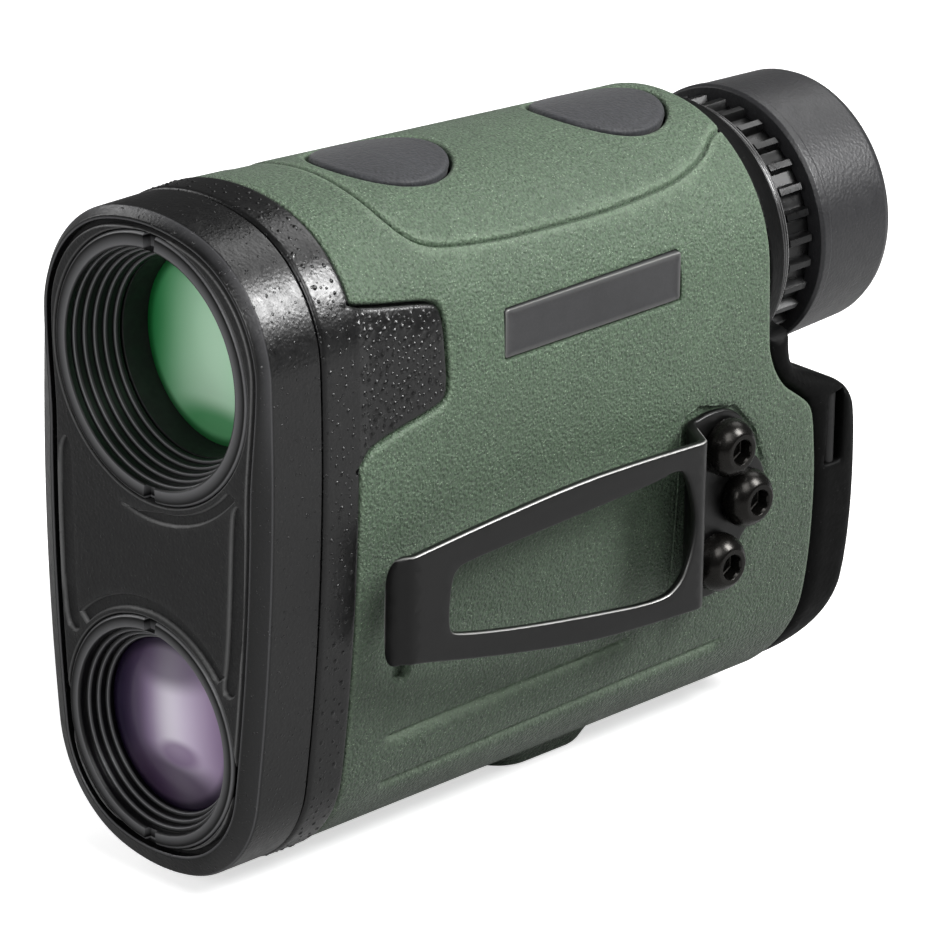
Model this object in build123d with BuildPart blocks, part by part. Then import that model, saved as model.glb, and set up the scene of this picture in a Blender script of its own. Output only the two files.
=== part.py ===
from build123d import *
import os
from math import copysign, hypot, sqrt
from typing import NamedTuple

os.makedirs("parts", exist_ok=True)

# ---------------------------------------------------------------------------
# Hand-held laser rangefinder monocular.  Millimetres, +Z up, +Y towards the
# eyepiece, +X towards the belt clip.  The part origin is the mouth of the
# tripod socket under the body.
# Stations are measured back (+Y) from the front face and heights (+Z) from the
# objective axis; FRONT_Y and AXIS_Z turn them into part coordinates.
# ---------------------------------------------------------------------------
FRONT_Y = -62.0          # front face plane
AXIS_Z = 68.8            # objective axis above the tripod face


class Outline(NamedTuple):
    """Body cross-section, symmetric about x = 0, made of tangent arcs."""
    top: float
    top_radius: float
    shoulder_radius: float
    side_radius: float
    side_height: float       # height of the side arcs' centres
    half_width: float
    bottom: float
    bottom_radius: float
    corner_radius: float     # lower corners


FRONT_OUTLINE = Outline(19.9, 30.0, 17.0, 310.0, -13.2, 20.9, -66.8, 26.0, 16.0)
REAR_OUTLINE = Outline(15.1, 22.0, 20.0, 310.0, -16.4, 20.55, -66.5, 26.0, 16.0)

# stations along the body
BEZEL_END = 9.38         # seam between bezel and band
BAND_END = 15.4          # armour and taper start here
REAR_SECTION = 99.6      # where REAR_OUTLINE applies
TOP_SLOPE = (FRONT_OUTLINE.top - REAR_OUTLINE.top) / (REAR_SECTION - BAND_END)

# skins, as offsets from the body outline
ARMOUR_THICKNESS = 1.8
HOUSING_WALL = 1.55
HOUSING_OUTER = -1.85
HOUSING_INNER = HOUSING_OUTER - HOUSING_WALL
BEYOND_BODY = 30.0       # half width of side-view prisms that span the whole body

# fits
RUN = 0.05               # running clearance on radius
SEAL_FIT = 0.02          # radial gap between a seal and its groove floor
SCREW_SHANK = 0.95       # radii of the small internal screws and their holes
SCREW_PILOT = 1.0
SCREW_CLEARANCE = 1.1

# heights of the other optical and turning axes
LASER_AXIS = -48.16
EYE_AXIS = -4.91
BATTERY_AXIS = -42.0
RECEIVER_AXIS = -16.0

# top buttons
BUTTON_HALF_WIDTH, BUTTON_HALF_LENGTH = 8.45, 9.1
BUTTON_GAP = 0.3
MENU_AT, MEASURE_AT = 38.2, 76.7
BUTTON_STATIONS = (MENU_AT, MEASURE_AT)

# clip screws: (station, height)
CLIP_SCREWS = [(79.4, -25.0), (83.0, -32.9), (78.2, -40.6)]
INSERT_RADIUS = 2.4

# tripod socket, 1/4-20
TRIPOD_BORE = 2.55
TRIPOD_INSERT_RADIUS = 4.8
TRIPOD_AT = (0, 62.0)    # (x, station)


# --- reference planes -------------------------------------------------------
def across(station, height=0.0):
    """Cross-section plane: local x is X, local y is height."""
    return Plane(origin=(0, FRONT_Y + station, AXIS_Z + height), x_dir=(1, 0, 0),
                 z_dir=(0, -1, 0))


def side(x, height=0.0):
    """Plane parallel to YZ: local x is station, local y is height above the given one."""
    return Plane(origin=(x, FRONT_Y, AXIS_Z + height), x_dir=(0, 1, 0), z_dir=(1, 0, 0))


def plan(height):
    """Plane parallel to XY: local x is X, local y is station."""
    return Plane(origin=(0, FRONT_Y, AXIS_Z + height), x_dir=(1, 0, 0), z_dir=(0, 0, 1))


def top_plane(station, lift):
    """Plane parallel to the falling top line at a station, lift above the surface."""
    top = FRONT_OUTLINE.top - TOP_SLOPE * (station - BAND_END)
    normal = Vector(0, TOP_SLOPE, 1).normalized()
    return Plane(origin=Vector(0, FRONT_Y + station, AXIS_Z + top) + normal * lift,
                 x_dir=(1, 0, 0), z_dir=normal)


# --- basic solids, added to the part being built ----------------------------
def polygon(plane, points):
    with BuildSketch(plane) as face:
        with BuildLine():
            Polyline(*points, close=True)
        make_face()
    return face.sketch


def turned(axis_height, points, mode=Mode.ADD):
    """Revolve a (station, radius) profile about the Y axis line at a height."""
    revolve(polygon(side(0, axis_height), points),
            axis=Axis((0, FRONT_Y, AXIS_Z + axis_height), (0, 1, 0)), mode=mode)


def tube(axis_height, start, end, outer, inner=0.0, mode=Mode.ADD):
    turned(axis_height, [(start, inner), (end, inner), (end, outer), (start, outer)], mode=mode)


def block(x_min, x_max, start, end, low, high, mode=Mode.ADD):
    """Rectangular block given by its limits in X, station and height."""
    with BuildSketch(plan(low)) as base:
        with Locations(((x_min + x_max) / 2, (start + end) / 2)):
            Rectangle(x_max - x_min, end - start)
    extrude(base.sketch, amount=high - low, mode=mode)


def side_prism(points, x_min, x_max, mode=Mode.ADD):
    """(station, height) polygon drawn in a side view, between two X values."""
    extrude(polygon(side(x_min), points), amount=x_max - x_min, mode=mode)


def cross_bars(places, x_min, x_max, radius, mode=Mode.ADD):
    """Round bars along X at (station, height) places."""
    for place in places:
        with BuildSketch(side(x_min)) as end_face:
            with Locations(place):
                Circle(radius)
        extrude(end_face.sketch, amount=x_max - x_min, mode=mode)


def posts(places, low, amount, radius, mode=Mode.ADD):
    """Round bars along Z at (x, station) places, starting from a height."""
    with BuildSketch(plan(low)) as end_face:
        with Locations(*places):
            Circle(radius)
    extrude(end_face.sketch, amount=amount, mode=mode)


def top_shape(station, lift, amount, shape, *sizes, mode=Mode.ADD):
    """Extrude a sketch shape square to the top line, starting lift above it."""
    with BuildSketch(top_plane(station, lift)) as face:
        shape(*sizes)
    extrude(face.sketch, amount=amount, mode=mode)


def save(piece, name):
    piece.part.label = name
    export_step(piece.part, f"parts/{name}.step")


# --- body outline from tangent arcs -----------------------------------------
def towards(centre, target, distance):
    """Point at a distance from centre on the ray to target."""
    reach = hypot(target[0] - centre[0], target[1] - centre[1])
    return tuple(c + distance * (t - c) / reach for c, t in zip(centre, target))


def tangent_centre(first, first_distance, second, second_distance, pick):
    """Point at given distances from two points; pick is max for the higher, min for the lower."""
    run, rise = second[0] - first[0], second[1] - first[1]
    gap = hypot(run, rise)
    along = (first_distance ** 2 - second_distance ** 2 + gap ** 2) / (2 * gap)
    off = sqrt(first_distance ** 2 - along ** 2)
    foot = towards(first, second, along)
    candidates = [(foot[0] + turn * off * rise / gap, foot[1] - turn * off * run / gap)
                  for turn in (1, -1)]
    return pick(candidates, key=lambda point: point[1])


def arc_between(centre, radius, start, end):
    """Start, middle and end of an arc, between the rays to two points."""
    first, last = towards(centre, start, radius), towards(centre, end, radius)
    chord_middle = ((first[0] + last[0]) / 2, (first[1] + last[1]) / 2)
    return first, towards(centre, chord_middle, radius), last


def mirrored(point):
    return (-point[0], point[1])


def outline_arcs(outline, offset):
    """Three points for each arc of the outline, clockwise from the top arc."""
    top, top_radius, shoulder, side_radius, side_height = outline[:5]
    half_width, bottom, bottom_radius, corner = outline[5:]
    top_centre = (0.0, top - top_radius)
    side_centre = (half_width - side_radius, side_height)
    bottom_centre = (0.0, bottom + bottom_radius)
    shoulder_centre = tangent_centre(top_centre, top_radius - shoulder,
                                     side_centre, side_radius - shoulder, max)
    corner_centre = tangent_centre(bottom_centre, bottom_radius - corner,
                                   side_centre, side_radius - corner, min)
    # tangent points, from the top down the +X side
    top_end = towards(top_centre, shoulder_centre, top_radius)
    side_start = towards(side_centre, shoulder_centre, side_radius)
    side_end = towards(side_centre, corner_centre, side_radius)
    bottom_start = towards(bottom_centre, corner_centre, bottom_radius)
    right = [arc_between(shoulder_centre, shoulder + offset, top_end, side_start),
             arc_between(side_centre, side_radius + offset, side_start, side_end),
             arc_between(corner_centre, corner + offset, side_end, bottom_start)]
    top_right, bottom_right = right[0][0], right[2][2]
    return [(mirrored(top_right), (0.0, top + offset), top_right),
            *right,
            (bottom_right, (0.0, bottom - offset), mirrored(bottom_right)),
            *[tuple(mirrored(point) for point in reversed(arc)) for arc in reversed(right)]]


def outline_sketch(station, outline, offset):
    with BuildSketch(across(station)) as section:
        with BuildLine():
            for arc in outline_arcs(outline, offset):
                ThreePointArc(*arc)
        make_face()
    return section.sketch


def outline_ring(start, end, outer, inner):
    """Straight ring between two offsets of the front outline."""
    with BuildSketch(across(start)) as section:
        for offset, mode in ((outer, Mode.ADD), (inner, Mode.SUBTRACT)):
            with BuildLine():
                for arc in outline_arcs(FRONT_OUTLINE, offset):
                    ThreePointArc(*arc)
            make_face(mode=mode)
    extrude(section.sketch, amount=-(end - start))


def outline_solid(start, end, offset, mode=Mode.ADD):
    """Straight front part of the body."""
    extrude(outline_sketch(start, FRONT_OUTLINE, offset), amount=-(end - start), mode=mode)


def outline_at(station):
    """Outline of the taper; its radii stop changing at the rear section."""
    taper = (station - BAND_END) / (REAR_SECTION - BAND_END)

    def blend(share):
        return Outline(*(a + (b - a) * share for a, b in zip(FRONT_OUTLINE, REAR_OUTLINE)))

    held = blend(min(taper, 1.0))
    return blend(taper)._replace(top_radius=held.top_radius,
                                 shoulder_radius=held.shoulder_radius)


def body_solid(start, end, offset, mode=Mode.ADD):
    """Tapering main part of the body: the top falls towards the eyepiece."""
    loft([outline_sketch(at, outline_at(at), offset) for at in (start, end)],
         ruled=True, mode=mode)


# Side-view outlines, (station, height) from the top down:
# rear edge of armour and housing
EDGE = [(88.8, -13.2), (89.4, -16.0), (90.4, -18.3), (92.2, -20.7), (94.8, -22.5),
        (96.9, -24.1), (97.9, -25.8), (98.5, -29.7), (99.2, -35.5), (99.6, -44.0),
        (99.5, -50.5), (98.6, -57.0), (97.0, -62.0), (94.5, -70.0)]
# rear face of the cover
COVER = [(93.7, -13.2), (93.9, -16.7), (94.6, -18.3), (96.2, -19.8), (101.2, -21.8),
         (104.8, -23.6), (106.3, -25.2), (107.2, -27.4), (107.9, -34.4), (108.4, -43.0),
         (108.3, -50.0), (107.6, -55.0), (105.8, -59.5), (102.5, -63.5), (98.6, -67.5),
         (96.0, -70.0)]
COVER_GAP = 0.1
COVER_FRONT = EDGE[0][0] + COVER_GAP
ABOVE_BODY = 40.0        # height that clears the top of the body


def ahead_of_edge(shift=0.0, mode=Mode.INTERSECT):
    """Keep or cut everything ahead of the armour's rear edge, moved back by shift."""
    edge = [(at + shift, height) for at, height in EDGE]
    side_prism([(-5.0, ABOVE_BODY), (edge[0][0], ABOVE_BODY)] + edge + [(-5.0, -70.0)],
               -BEYOND_BODY, BEYOND_BODY, mode=mode)


# ---------------------------------------------------------------------------
# Front: bezel, band, retaining rings, lens cells and lenses
# ---------------------------------------------------------------------------
OBJECTIVE_RADIUS = 13.35     # lens radius, 25 mm clear aperture
OBJECTIVE_CLEAR = 12.63
OBJECTIVE_BARREL = 14.9      # cell outside radius
LASER_RADIUS = 11.6
LASER_BARREL = 12.6
CHAMFER_END = 1.6            # bezel chamfer and ring recess depth
POCKET_START = 4.2
COLLAR_START = 4.0

with BuildPart() as front_bezel:
    loft([outline_sketch(0.0, FRONT_OUTLINE, -1.3),
          outline_sketch(CHAMFER_END, FRONT_OUTLINE, 0.0)], ruled=True)
    outline_solid(CHAMFER_END, BEZEL_END, 0.0)
    # pocket behind the face plate, with a collar left round each lens bore
    outline_solid(POCKET_START, BEZEL_END, -2.2, mode=Mode.SUBTRACT)
    tube(0.0, COLLAR_START, BEZEL_END, 18.3)
    tube(LASER_AXIS, COLLAR_START, BEZEL_END, 15.6)
    for axis_height, recess, bore in ((0.0, 17.45, 16.4), (LASER_AXIS, 15.25, 14.45)):
        tube(axis_height, -0.5, CHAMFER_END, recess, mode=Mode.SUBTRACT)
        tube(axis_height, 1.0, 10.0, bore, mode=Mode.SUBTRACT)
save(front_bezel, "front_bezel")

# side tabs of the band, and the larger cut-out for them in the armour: (station, height)
TAB = [(13.0, 11.2), (16.2, 9.3), (22.0, 8.1), (28.8, 6.9), (30.0, 5.9), (30.4, 0.7),
       (30.7, -4.6), (30.0, -6.1), (27.3, -6.8), (22.3, -7.7), (17.6, -8.8), (16.0, -10.4),
       (13.0, -12.5)]
TAB_CUT = [(12.0, 12.0), (16.1, 9.75), (22.1, 8.5), (29.2, 7.3), (30.4, 6.1), (30.8, 0.7),
           (31.1, -4.7), (30.2, -6.5), (27.3, -7.2), (22.3, -8.1), (17.7, -9.2),
           (16.3, -10.7), (12.0, -13.6)]

with BuildPart() as front_band:
    body_solid(BAND_END, 31.5, -0.4)
    side_prism(TAB, -BEYOND_BODY, BEYOND_BODY, mode=Mode.INTERSECT)
    body_solid(BAND_END, 33.0, -ARMOUR_THICKNESS, mode=Mode.SUBTRACT)
    outline_ring(BEZEL_END + 0.08, BAND_END, 0.15, -ARMOUR_THICKNESS)
save(front_band, "front_band")


def face_slots(axis_height, depth, inner, outer):
    """Slots across the front of a ring, below and above its axis."""
    for low, high in ((-outer, -inner), (inner, outer)):
        block(-1.0, 1.0, -1.0, depth, axis_height + low, axis_height + high,
              mode=Mode.SUBTRACT)


with BuildPart() as objective_retaining_ring:
    turned(0.0, [(0.0, 15.32), (0.0, 17.0), (0.35, 17.4), (1.5, 17.4), (1.5, 16.3),
                 (6.9, 16.3), (6.9, 13.0), (6.0, 13.0), (6.0, 13.4), (4.9, 13.4),
                 (4.9, 13.8), (3.8, 13.8), (3.8, 14.25), (2.7, 14.25), (2.7, 14.65),
                 (1.6, 14.65), (1.6, 15.0), (0.6, 15.0)])
    face_slots(0.0, 1.2, 14.0, 18.0)
save(objective_retaining_ring, "objective_retaining_ring")

with BuildPart() as laser_retaining_ring:
    turned(LASER_AXIS, [(0.0, 13.43), (0.0, 14.8), (0.35, 15.2), (1.5, 15.2), (1.5, 14.4),
                        (3.95, 14.4), (3.95, 11.25), (3.3, 11.25), (3.3, 11.9), (2.2, 11.9),
                        (2.2, 12.6), (1.1, 12.6), (1.1, 13.1), (0.5, 13.1)])
    face_slots(LASER_AXIS, 1.0, 12.2, 16.0)
save(laser_retaining_ring, "laser_retaining_ring")

# seal grooves in the cells: (start station, end station, floor radius)
OBJECTIVE_GROOVE = (7.9, 9.05, 15.4)
LASER_GROOVE = (5.6, 6.9, 13.5)


def lens_cell(axis_height, start, bore, step, lip_bore, end, barrel, flange, groove):
    """Flanged barrel: lens bore up to step, then lip_bore; a seal groove in the flange."""
    flange_end = 9.45
    groove_start, groove_end, floor = groove
    turned(axis_height, [(start, bore), (step, bore), (step, lip_bore), (end, lip_bore),
                         (end, barrel), (flange_end, barrel), (flange_end, flange),
                         (groove_end, flange), (groove_end, floor), (groove_start, floor),
                         (groove_start, flange), (start, flange)])


def groove_seal(axis_height, groove, outer):
    start, end, floor = groove
    tube(axis_height, start + 0.05, end - 0.05, outer, floor + SEAL_FIT)


with BuildPart() as objective_cell:
    lens_cell(0.0, start=7.0, bore=OBJECTIVE_RADIUS + RUN, step=16.6, lip_bore=12.4, end=22.0,
              barrel=OBJECTIVE_BARREL, flange=16.2, groove=OBJECTIVE_GROOVE)
save(objective_cell, "objective_cell")

with BuildPart() as objective_seal:
    groove_seal(0.0, OBJECTIVE_GROOVE, 16.36)
save(objective_seal, "objective_seal")

with BuildPart() as objective_lock_ring:
    turned(0.0, [(7.3, 12.95), (11.15, OBJECTIVE_CLEAR), (11.15, OBJECTIVE_RADIUS),
                 (7.3, OBJECTIVE_RADIUS)])
save(objective_lock_ring, "objective_lock_ring")


def mid_bulge(sag, radius):
    """Bulge at half the rim radius of a spherical face with the given centre sag."""
    sphere = (radius * radius + sag * sag) / (2 * abs(sag))
    drop = sphere - sqrt(sphere * sphere - (radius / 2) ** 2)
    return copysign(abs(sag) - drop, sag)


def lens(axis_height, front, edge, radius, front_sag, rear_sag):
    """Lens with its rim from front over edge; a positive sag bulges outwards, 0 is flat."""
    rear = front + edge
    with BuildSketch(side(0, axis_height)) as profile:
        with BuildLine():
            if front_sag:
                ThreePointArc((front - front_sag, 0),
                              (front - mid_bulge(front_sag, radius), radius / 2),
                              (front, radius))
            else:
                Line((front, 0), (front, radius))
            Line((front, radius), (rear, radius))
            if rear_sag:
                ThreePointArc((rear, radius),
                              (rear + mid_bulge(rear_sag, radius), radius / 2),
                              (rear + rear_sag, 0))
            else:
                Line((rear, radius), (rear, 0))
            Line((rear + rear_sag, 0), (front - front_sag, 0))
        make_face()
    revolve(profile.sketch, axis=Axis((0, FRONT_Y, AXIS_Z + axis_height), (0, 1, 0)))


CROWN_FRONT, CROWN_EDGE = 11.36, 1.6
FLINT_FRONT = 14.3
SPACER_GAP = 0.1

with BuildPart() as objective_crown_lens:
    lens(0.0, CROWN_FRONT, CROWN_EDGE, OBJECTIVE_RADIUS, front_sag=1.5, rear_sag=0.7)
save(objective_crown_lens, "objective_crown_lens")

with BuildPart() as objective_flint_lens:
    lens(0.0, FLINT_FRONT, 2.2, OBJECTIVE_RADIUS, front_sag=-1.2, rear_sag=0.0)
save(objective_flint_lens, "objective_flint_lens")

with BuildPart() as objective_spacer:
    tube(0.0, CROWN_FRONT + CROWN_EDGE + SPACER_GAP, FLINT_FRONT - SPACER_GAP,
         OBJECTIVE_RADIUS, 12.75)
save(objective_spacer, "objective_spacer")

with BuildPart() as laser_cell:
    lens_cell(LASER_AXIS, start=4.05, bore=LASER_RADIUS + RUN, step=7.6, lip_bore=10.6,
              end=24.0, barrel=LASER_BARREL, flange=14.3, groove=LASER_GROOVE)
save(laser_cell, "laser_cell")

with BuildPart() as laser_seal:
    groove_seal(LASER_AXIS, LASER_GROOVE, 14.42)
save(laser_seal, "laser_seal")

with BuildPart() as laser_lens:
    lens(LASER_AXIS, 4.2, 3.2, LASER_RADIUS, front_sag=2.6, rear_sag=0.0)
save(laser_lens, "laser_lens")

# ---------------------------------------------------------------------------
# Optics frame and the prisms and display it carries
# ---------------------------------------------------------------------------
SHELF_LOW, SHELF_TOP = -26.4, -23.0
CAGE_SCREWS = [(x, at) for x in (8.0, -8.0) for at in (44.6, 71.6)]          # (x, station)
BOARD_SCREWS = [(at, (SHELF_LOW + SHELF_TOP) / 2) for at in (32.0, 66.0)]    # (station, height)
CAGE_FLOOR_TOP = -21.4
PRISM_HALF_WIDTH = 9.0
CAGE_HALF_WIDTH = 10.6
CAGE_TOP = 9.8
BRACKET_HALF_WIDTH = 10.8

with BuildPart() as optics_frame:
    # front plate, shelf and two hanging webs
    outline_solid(9.5, 12.5, HOUSING_INNER - 0.1)
    block(-12.6, 12.6, 12.0, 74.0, SHELF_LOW, SHELF_TOP)
    block(-11.0, 11.0, 51.6, 53.4, -58.0, -24.0)
    block(-11.0, 11.0, 70.0, 73.0, -34.0, -24.0)
    tube(0.0, 5.0, 20.0, OBJECTIVE_BARREL + RUN, mode=Mode.SUBTRACT)
    tube(LASER_AXIS, 5.0, 20.0, LASER_BARREL + RUN, mode=Mode.SUBTRACT)
    # pilot holes for the cage and board screws
    posts(CAGE_SCREWS, SHELF_TOP, -3.0, SCREW_PILOT, mode=Mode.SUBTRACT)
    cross_bars(BOARD_SCREWS, -13.0, -8.0, SCREW_PILOT, mode=Mode.SUBTRACT)
save(optics_frame, "optics_frame")

# prism side views: (station, height)
HALF_PENTA = [(47.6, -9.4), (47.6, 9.4), (56.6, 9.4), (62.0, -4.0), (56.0, -9.4)]
ROOF = [(56.2, -10.0), (62.6, -4.4), (58.5, 6.0), (67.8, 6.0), (67.8, -16.0), (62.0, -16.0)]

with BuildPart() as half_penta_prism:
    side_prism(HALF_PENTA, -PRISM_HALF_WIDTH, PRISM_HALF_WIDTH)
save(half_penta_prism, "half_penta_prism")

with BuildPart() as roof_prism:
    side_prism(ROOF, -PRISM_HALF_WIDTH, PRISM_HALF_WIDTH)
save(roof_prism, "roof_prism")

with BuildPart() as prism_cage:
    # floor, two side walls and the rest under the roof prism
    cheek = PRISM_HALF_WIDTH + 0.1
    block(-11.0, 11.0, 42.6, 73.4, SHELF_TOP, CAGE_FLOOR_TOP)
    block(-CAGE_HALF_WIDTH, -cheek, 46.6, 69.6, -22.0, CAGE_TOP)
    block(cheek, CAGE_HALF_WIDTH, 46.6, 69.6, -22.0, CAGE_TOP)
    block(-9.2, 9.2, 58.0, 68.0, -22.0, -16.1)
    posts(CAGE_SCREWS, -24.0, 4.0, SCREW_CLEARANCE, mode=Mode.SUBTRACT)
save(prism_cage, "prism_cage")

with BuildPart() as prism_strap:
    block(-CAGE_HALF_WIDTH, CAGE_HALF_WIDTH, 52.0, 60.0, CAGE_TOP + 0.05, 10.35)
save(prism_strap, "prism_strap")

with BuildPart() as cage_screws:
    for screw in CAGE_SCREWS:
        posts([screw], CAGE_FLOOR_TOP + 0.05, 1.2, 1.7)
        posts([screw], -25.6, 4.4, SCREW_SHANK)
save(cage_screws, "cage_screws")

DISPLAY_HALF_WIDTH = 9.5
DISPLAY_FRONT, DISPLAY_REAR = 74.4, 76.0
DISPLAY_LOW, DISPLAY_TOP = -14.5, 5.0
DISPLAY_GAP = 0.1

with BuildPart() as reticle_display:
    block(-DISPLAY_HALF_WIDTH, DISPLAY_HALF_WIDTH, DISPLAY_FRONT, DISPLAY_REAR,
          DISPLAY_LOW, DISPLAY_TOP)
save(reticle_display, "reticle_display")

with BuildPart() as display_bracket:
    pocket = DISPLAY_HALF_WIDTH + DISPLAY_GAP
    block(-BRACKET_HALF_WIDTH, BRACKET_HALF_WIDTH, DISPLAY_FRONT, 78.0, SHELF_TOP, 6.0)
    block(-pocket, pocket, 74.0, DISPLAY_REAR + DISPLAY_GAP,
          DISPLAY_LOW - DISPLAY_GAP, DISPLAY_TOP + DISPLAY_GAP, mode=Mode.SUBTRACT)
    tube(EYE_AXIS, 73.0, 80.0, 8.6, mode=Mode.SUBTRACT)
    block(-BRACKET_HALF_WIDTH, BRACKET_HALF_WIDTH, 70.0, 74.0, SHELF_LOW, SHELF_TOP,
          mode=Mode.SUBTRACT)
save(display_bracket, "display_bracket")

# ---------------------------------------------------------------------------
# Electronics
# ---------------------------------------------------------------------------
LASER_BOARD_FRONT = 50.3
DIODE_REAR = LASER_BOARD_FRONT - 0.05
MAIN_BOARD_X = (-13.85, -12.65)
CHIP_X = MAIN_BOARD_X[1] + 0.05
RECEIVER_REAR = 44.3

with BuildPart() as laser_board:
    block(-10.8, 10.8, LASER_BOARD_FRONT, 51.55, -57.0, -37.0)
    tube(LASER_AXIS, 49.0, 53.0, 0.6, mode=Mode.SUBTRACT)
save(laser_board, "laser_board")

with BuildPart() as laser_diode:
    turned(LASER_AXIS, [(46.6, 0), (46.6, 2.3), (49.3, 2.3), (49.3, 2.8), (DIODE_REAR, 2.8),
                        (DIODE_REAR, 0)])
save(laser_diode, "laser_diode")

with BuildPart() as laser_baffle:
    turned(LASER_AXIS, [(24.05, 10.6), (24.05, LASER_BARREL), (46.5, 4.4), (46.5, 3.2),
                        (45.2, 3.2)])
save(laser_baffle, "laser_baffle")

with BuildPart() as main_board:
    block(*MAIN_BOARD_X, 27.0, 72.0, -47.0, -12.0)
    cross_bars(BOARD_SCREWS, -16.0, -10.0, SCREW_CLEARANCE, mode=Mode.SUBTRACT)
save(main_board, "main_board")

with BuildPart() as board_screws:
    for screw in BOARD_SCREWS:
        cross_bars([screw], -14.9, MAIN_BOARD_X[0] - 0.05, 1.8)
        cross_bars([screw], -14.5, -9.0, SCREW_SHANK)
save(board_screws, "board_screws")

with BuildPart() as processor_chips:
    block(CHIP_X, -11.4, 36.0, 46.0, -42.0, -32.0)
    block(CHIP_X, -11.6, 55.5, 62.0, -43.0, -36.0)
save(processor_chips, "processor_chips")

with BuildPart() as receiver_module:
    turned(RECEIVER_AXIS, [(41.0, 0), (41.0, 2.7), (43.4, 2.7), (43.4, 3.2),
                           (RECEIVER_REAR, 3.2), (RECEIVER_REAR, 0)])
    block(-3.4, 3.4, RECEIVER_REAR, 45.3, -21.4, -11.0)
save(receiver_module, "receiver_module")


# ---------------------------------------------------------------------------
# Housing, armour, rear cover
# ---------------------------------------------------------------------------
def cut_button_openings():
    above, below = 4.0, 6.0
    for at in BUTTON_STATIONS:
        top_shape(at, above, -(above + below), Ellipse, BUTTON_HALF_WIDTH + BUTTON_GAP,
                  BUTTON_HALF_LENGTH + BUTTON_GAP, mode=Mode.SUBTRACT)


with BuildPart() as main_housing:
    body_solid(BAND_END, 101.0, HOUSING_OUTER)
    ahead_of_edge()
    body_solid(BAND_END, 104.0, HOUSING_INNER, mode=Mode.SUBTRACT)
    outline_ring(BEZEL_END + 0.1, BAND_END, HOUSING_OUTER, HOUSING_INNER)
    # tripod boss
    posts([TRIPOD_AT], -63.6, 3.0, 7.3)
    posts([TRIPOD_AT], -70.0, 8.2, TRIPOD_INSERT_RADIUS + RUN, mode=Mode.SUBTRACT)
    # clip insert bosses
    cross_bars(CLIP_SCREWS, 14.2, 17.3, 3.6)
    cross_bars(CLIP_SCREWS, 12.0, 22.0, INSERT_RADIUS + RUN, mode=Mode.SUBTRACT)
    cut_button_openings()
save(main_housing, "main_housing")

BADGE_GAP = 0.2
# pocket for the clip base in the armour: (station, height)
CLIP_POCKET = [(72.4, -19.6), (76.0, -18.9), (82.6, -20.6), (86.4, -24.6), (89.4, -32.0),
               (88.4, -38.6), (84.6, -45.6), (78.6, -47.0), (72.4, -45.4)]


def badge_prism(x_min, x_max, gap=0.0, mode=Mode.ADD):
    """Badge rectangle on a side of the body, grown by gap."""
    start, end, low, high = 40.6 - gap, 71.8 + gap, -3.15 - gap, 3.3 + gap
    side_prism([(start, low), (end, low), (end, high), (start, high)], x_min, x_max, mode=mode)


with BuildPart() as armour:
    body_solid(BAND_END + 0.1, 102.0, 0.0)
    # rounded pad under the body round the tripod socket
    with BuildSketch(plan(-AXIS_Z)) as pad_face:
        with Locations((0, TRIPOD_AT[1] + 1.4)):
            RectangleRounded(12.6, 18.0, 5.4)
    with BuildSketch(plan(-64.8)) as pad_root:
        with Locations((0, TRIPOD_AT[1] + 2.0)):
            RectangleRounded(15.4, 23.4, 6.4)
    loft([pad_face.sketch, pad_root.sketch], ruled=True)
    ahead_of_edge()
    body_solid(BAND_END, 104.0, -ARMOUR_THICKNESS, mode=Mode.SUBTRACT)
    side_prism(TAB_CUT, -BEYOND_BODY, BEYOND_BODY, mode=Mode.SUBTRACT)
    cut_button_openings()
    # badge pockets on both sides
    badge_prism(19.15, 25.0, BADGE_GAP, mode=Mode.SUBTRACT)
    badge_prism(-25.0, -19.15, BADGE_GAP, mode=Mode.SUBTRACT)
    side_prism(CLIP_POCKET, 19.9, 25.0, mode=Mode.SUBTRACT)
    cross_bars(CLIP_SCREWS, 16.0, 24.0, 1.7, mode=Mode.SUBTRACT)
    posts([TRIPOD_AT], -72.0, 12.0, 4.95, mode=Mode.SUBTRACT)
save(armour, "armour")

BATTERY_TUBE_RADIUS = 9.4
CAP_RADIUS = 11.2
PIN_AT = (18.2, 102.75)      # lanyard pin (x, station)
PIN_RADIUS = 0.9

with BuildPart() as rear_cover:
    body_solid(80.0, 112.0, -0.35)
    side_prism([(COVER_FRONT, ABOVE_BODY)] + [(at + COVER_GAP, height) for at, height in EDGE]
               + COVER[::-1] + [(89.2, -10.0), (89.2, ABOVE_BODY)],
               -BEYOND_BODY, BEYOND_BODY, mode=Mode.INTERSECT)
    # round shroud about the eyepiece
    turned(EYE_AXIS, [(COVER_FRONT, 0), (94.3, 0), (94.3, 17.5), (93.0, 18.4), (91.0, 19.4),
                      (COVER_FRONT, 20.2)])
    ahead_of_edge(COVER_GAP, mode=Mode.SUBTRACT)
    # cavity round the rear of the battery tube
    block(-12.5, 12.5, 94.0, 106.0, -56.0, -27.0, mode=Mode.SUBTRACT)
    tube(EYE_AXIS, 80.0, 96.0, 16.05, mode=Mode.SUBTRACT)
    # scoop under the eyecup
    tube(EYE_AXIS, 94.3, 116.0, 18.2, mode=Mode.SUBTRACT)
    tube(BATTERY_AXIS, 100.0, 112.0, BATTERY_TUBE_RADIUS + 0.1, mode=Mode.SUBTRACT)
    tube(BATTERY_AXIS, 107.0, 112.0, CAP_RADIUS + 0.1, mode=Mode.SUBTRACT)
    # lanyard slot in the +X side, with a pin hole up through it
    block(14.8, 24.0, 101.2, 104.3, -34.6, -24.9, mode=Mode.SUBTRACT)
    posts([PIN_AT], -37.6, 13.9, PIN_RADIUS + RUN, mode=Mode.SUBTRACT)
save(rear_cover, "rear_cover")

with BuildPart() as lanyard_pin:
    posts([PIN_AT], -37.5, 13.6, PIN_RADIUS)
save(lanyard_pin, "lanyard_pin")

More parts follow.
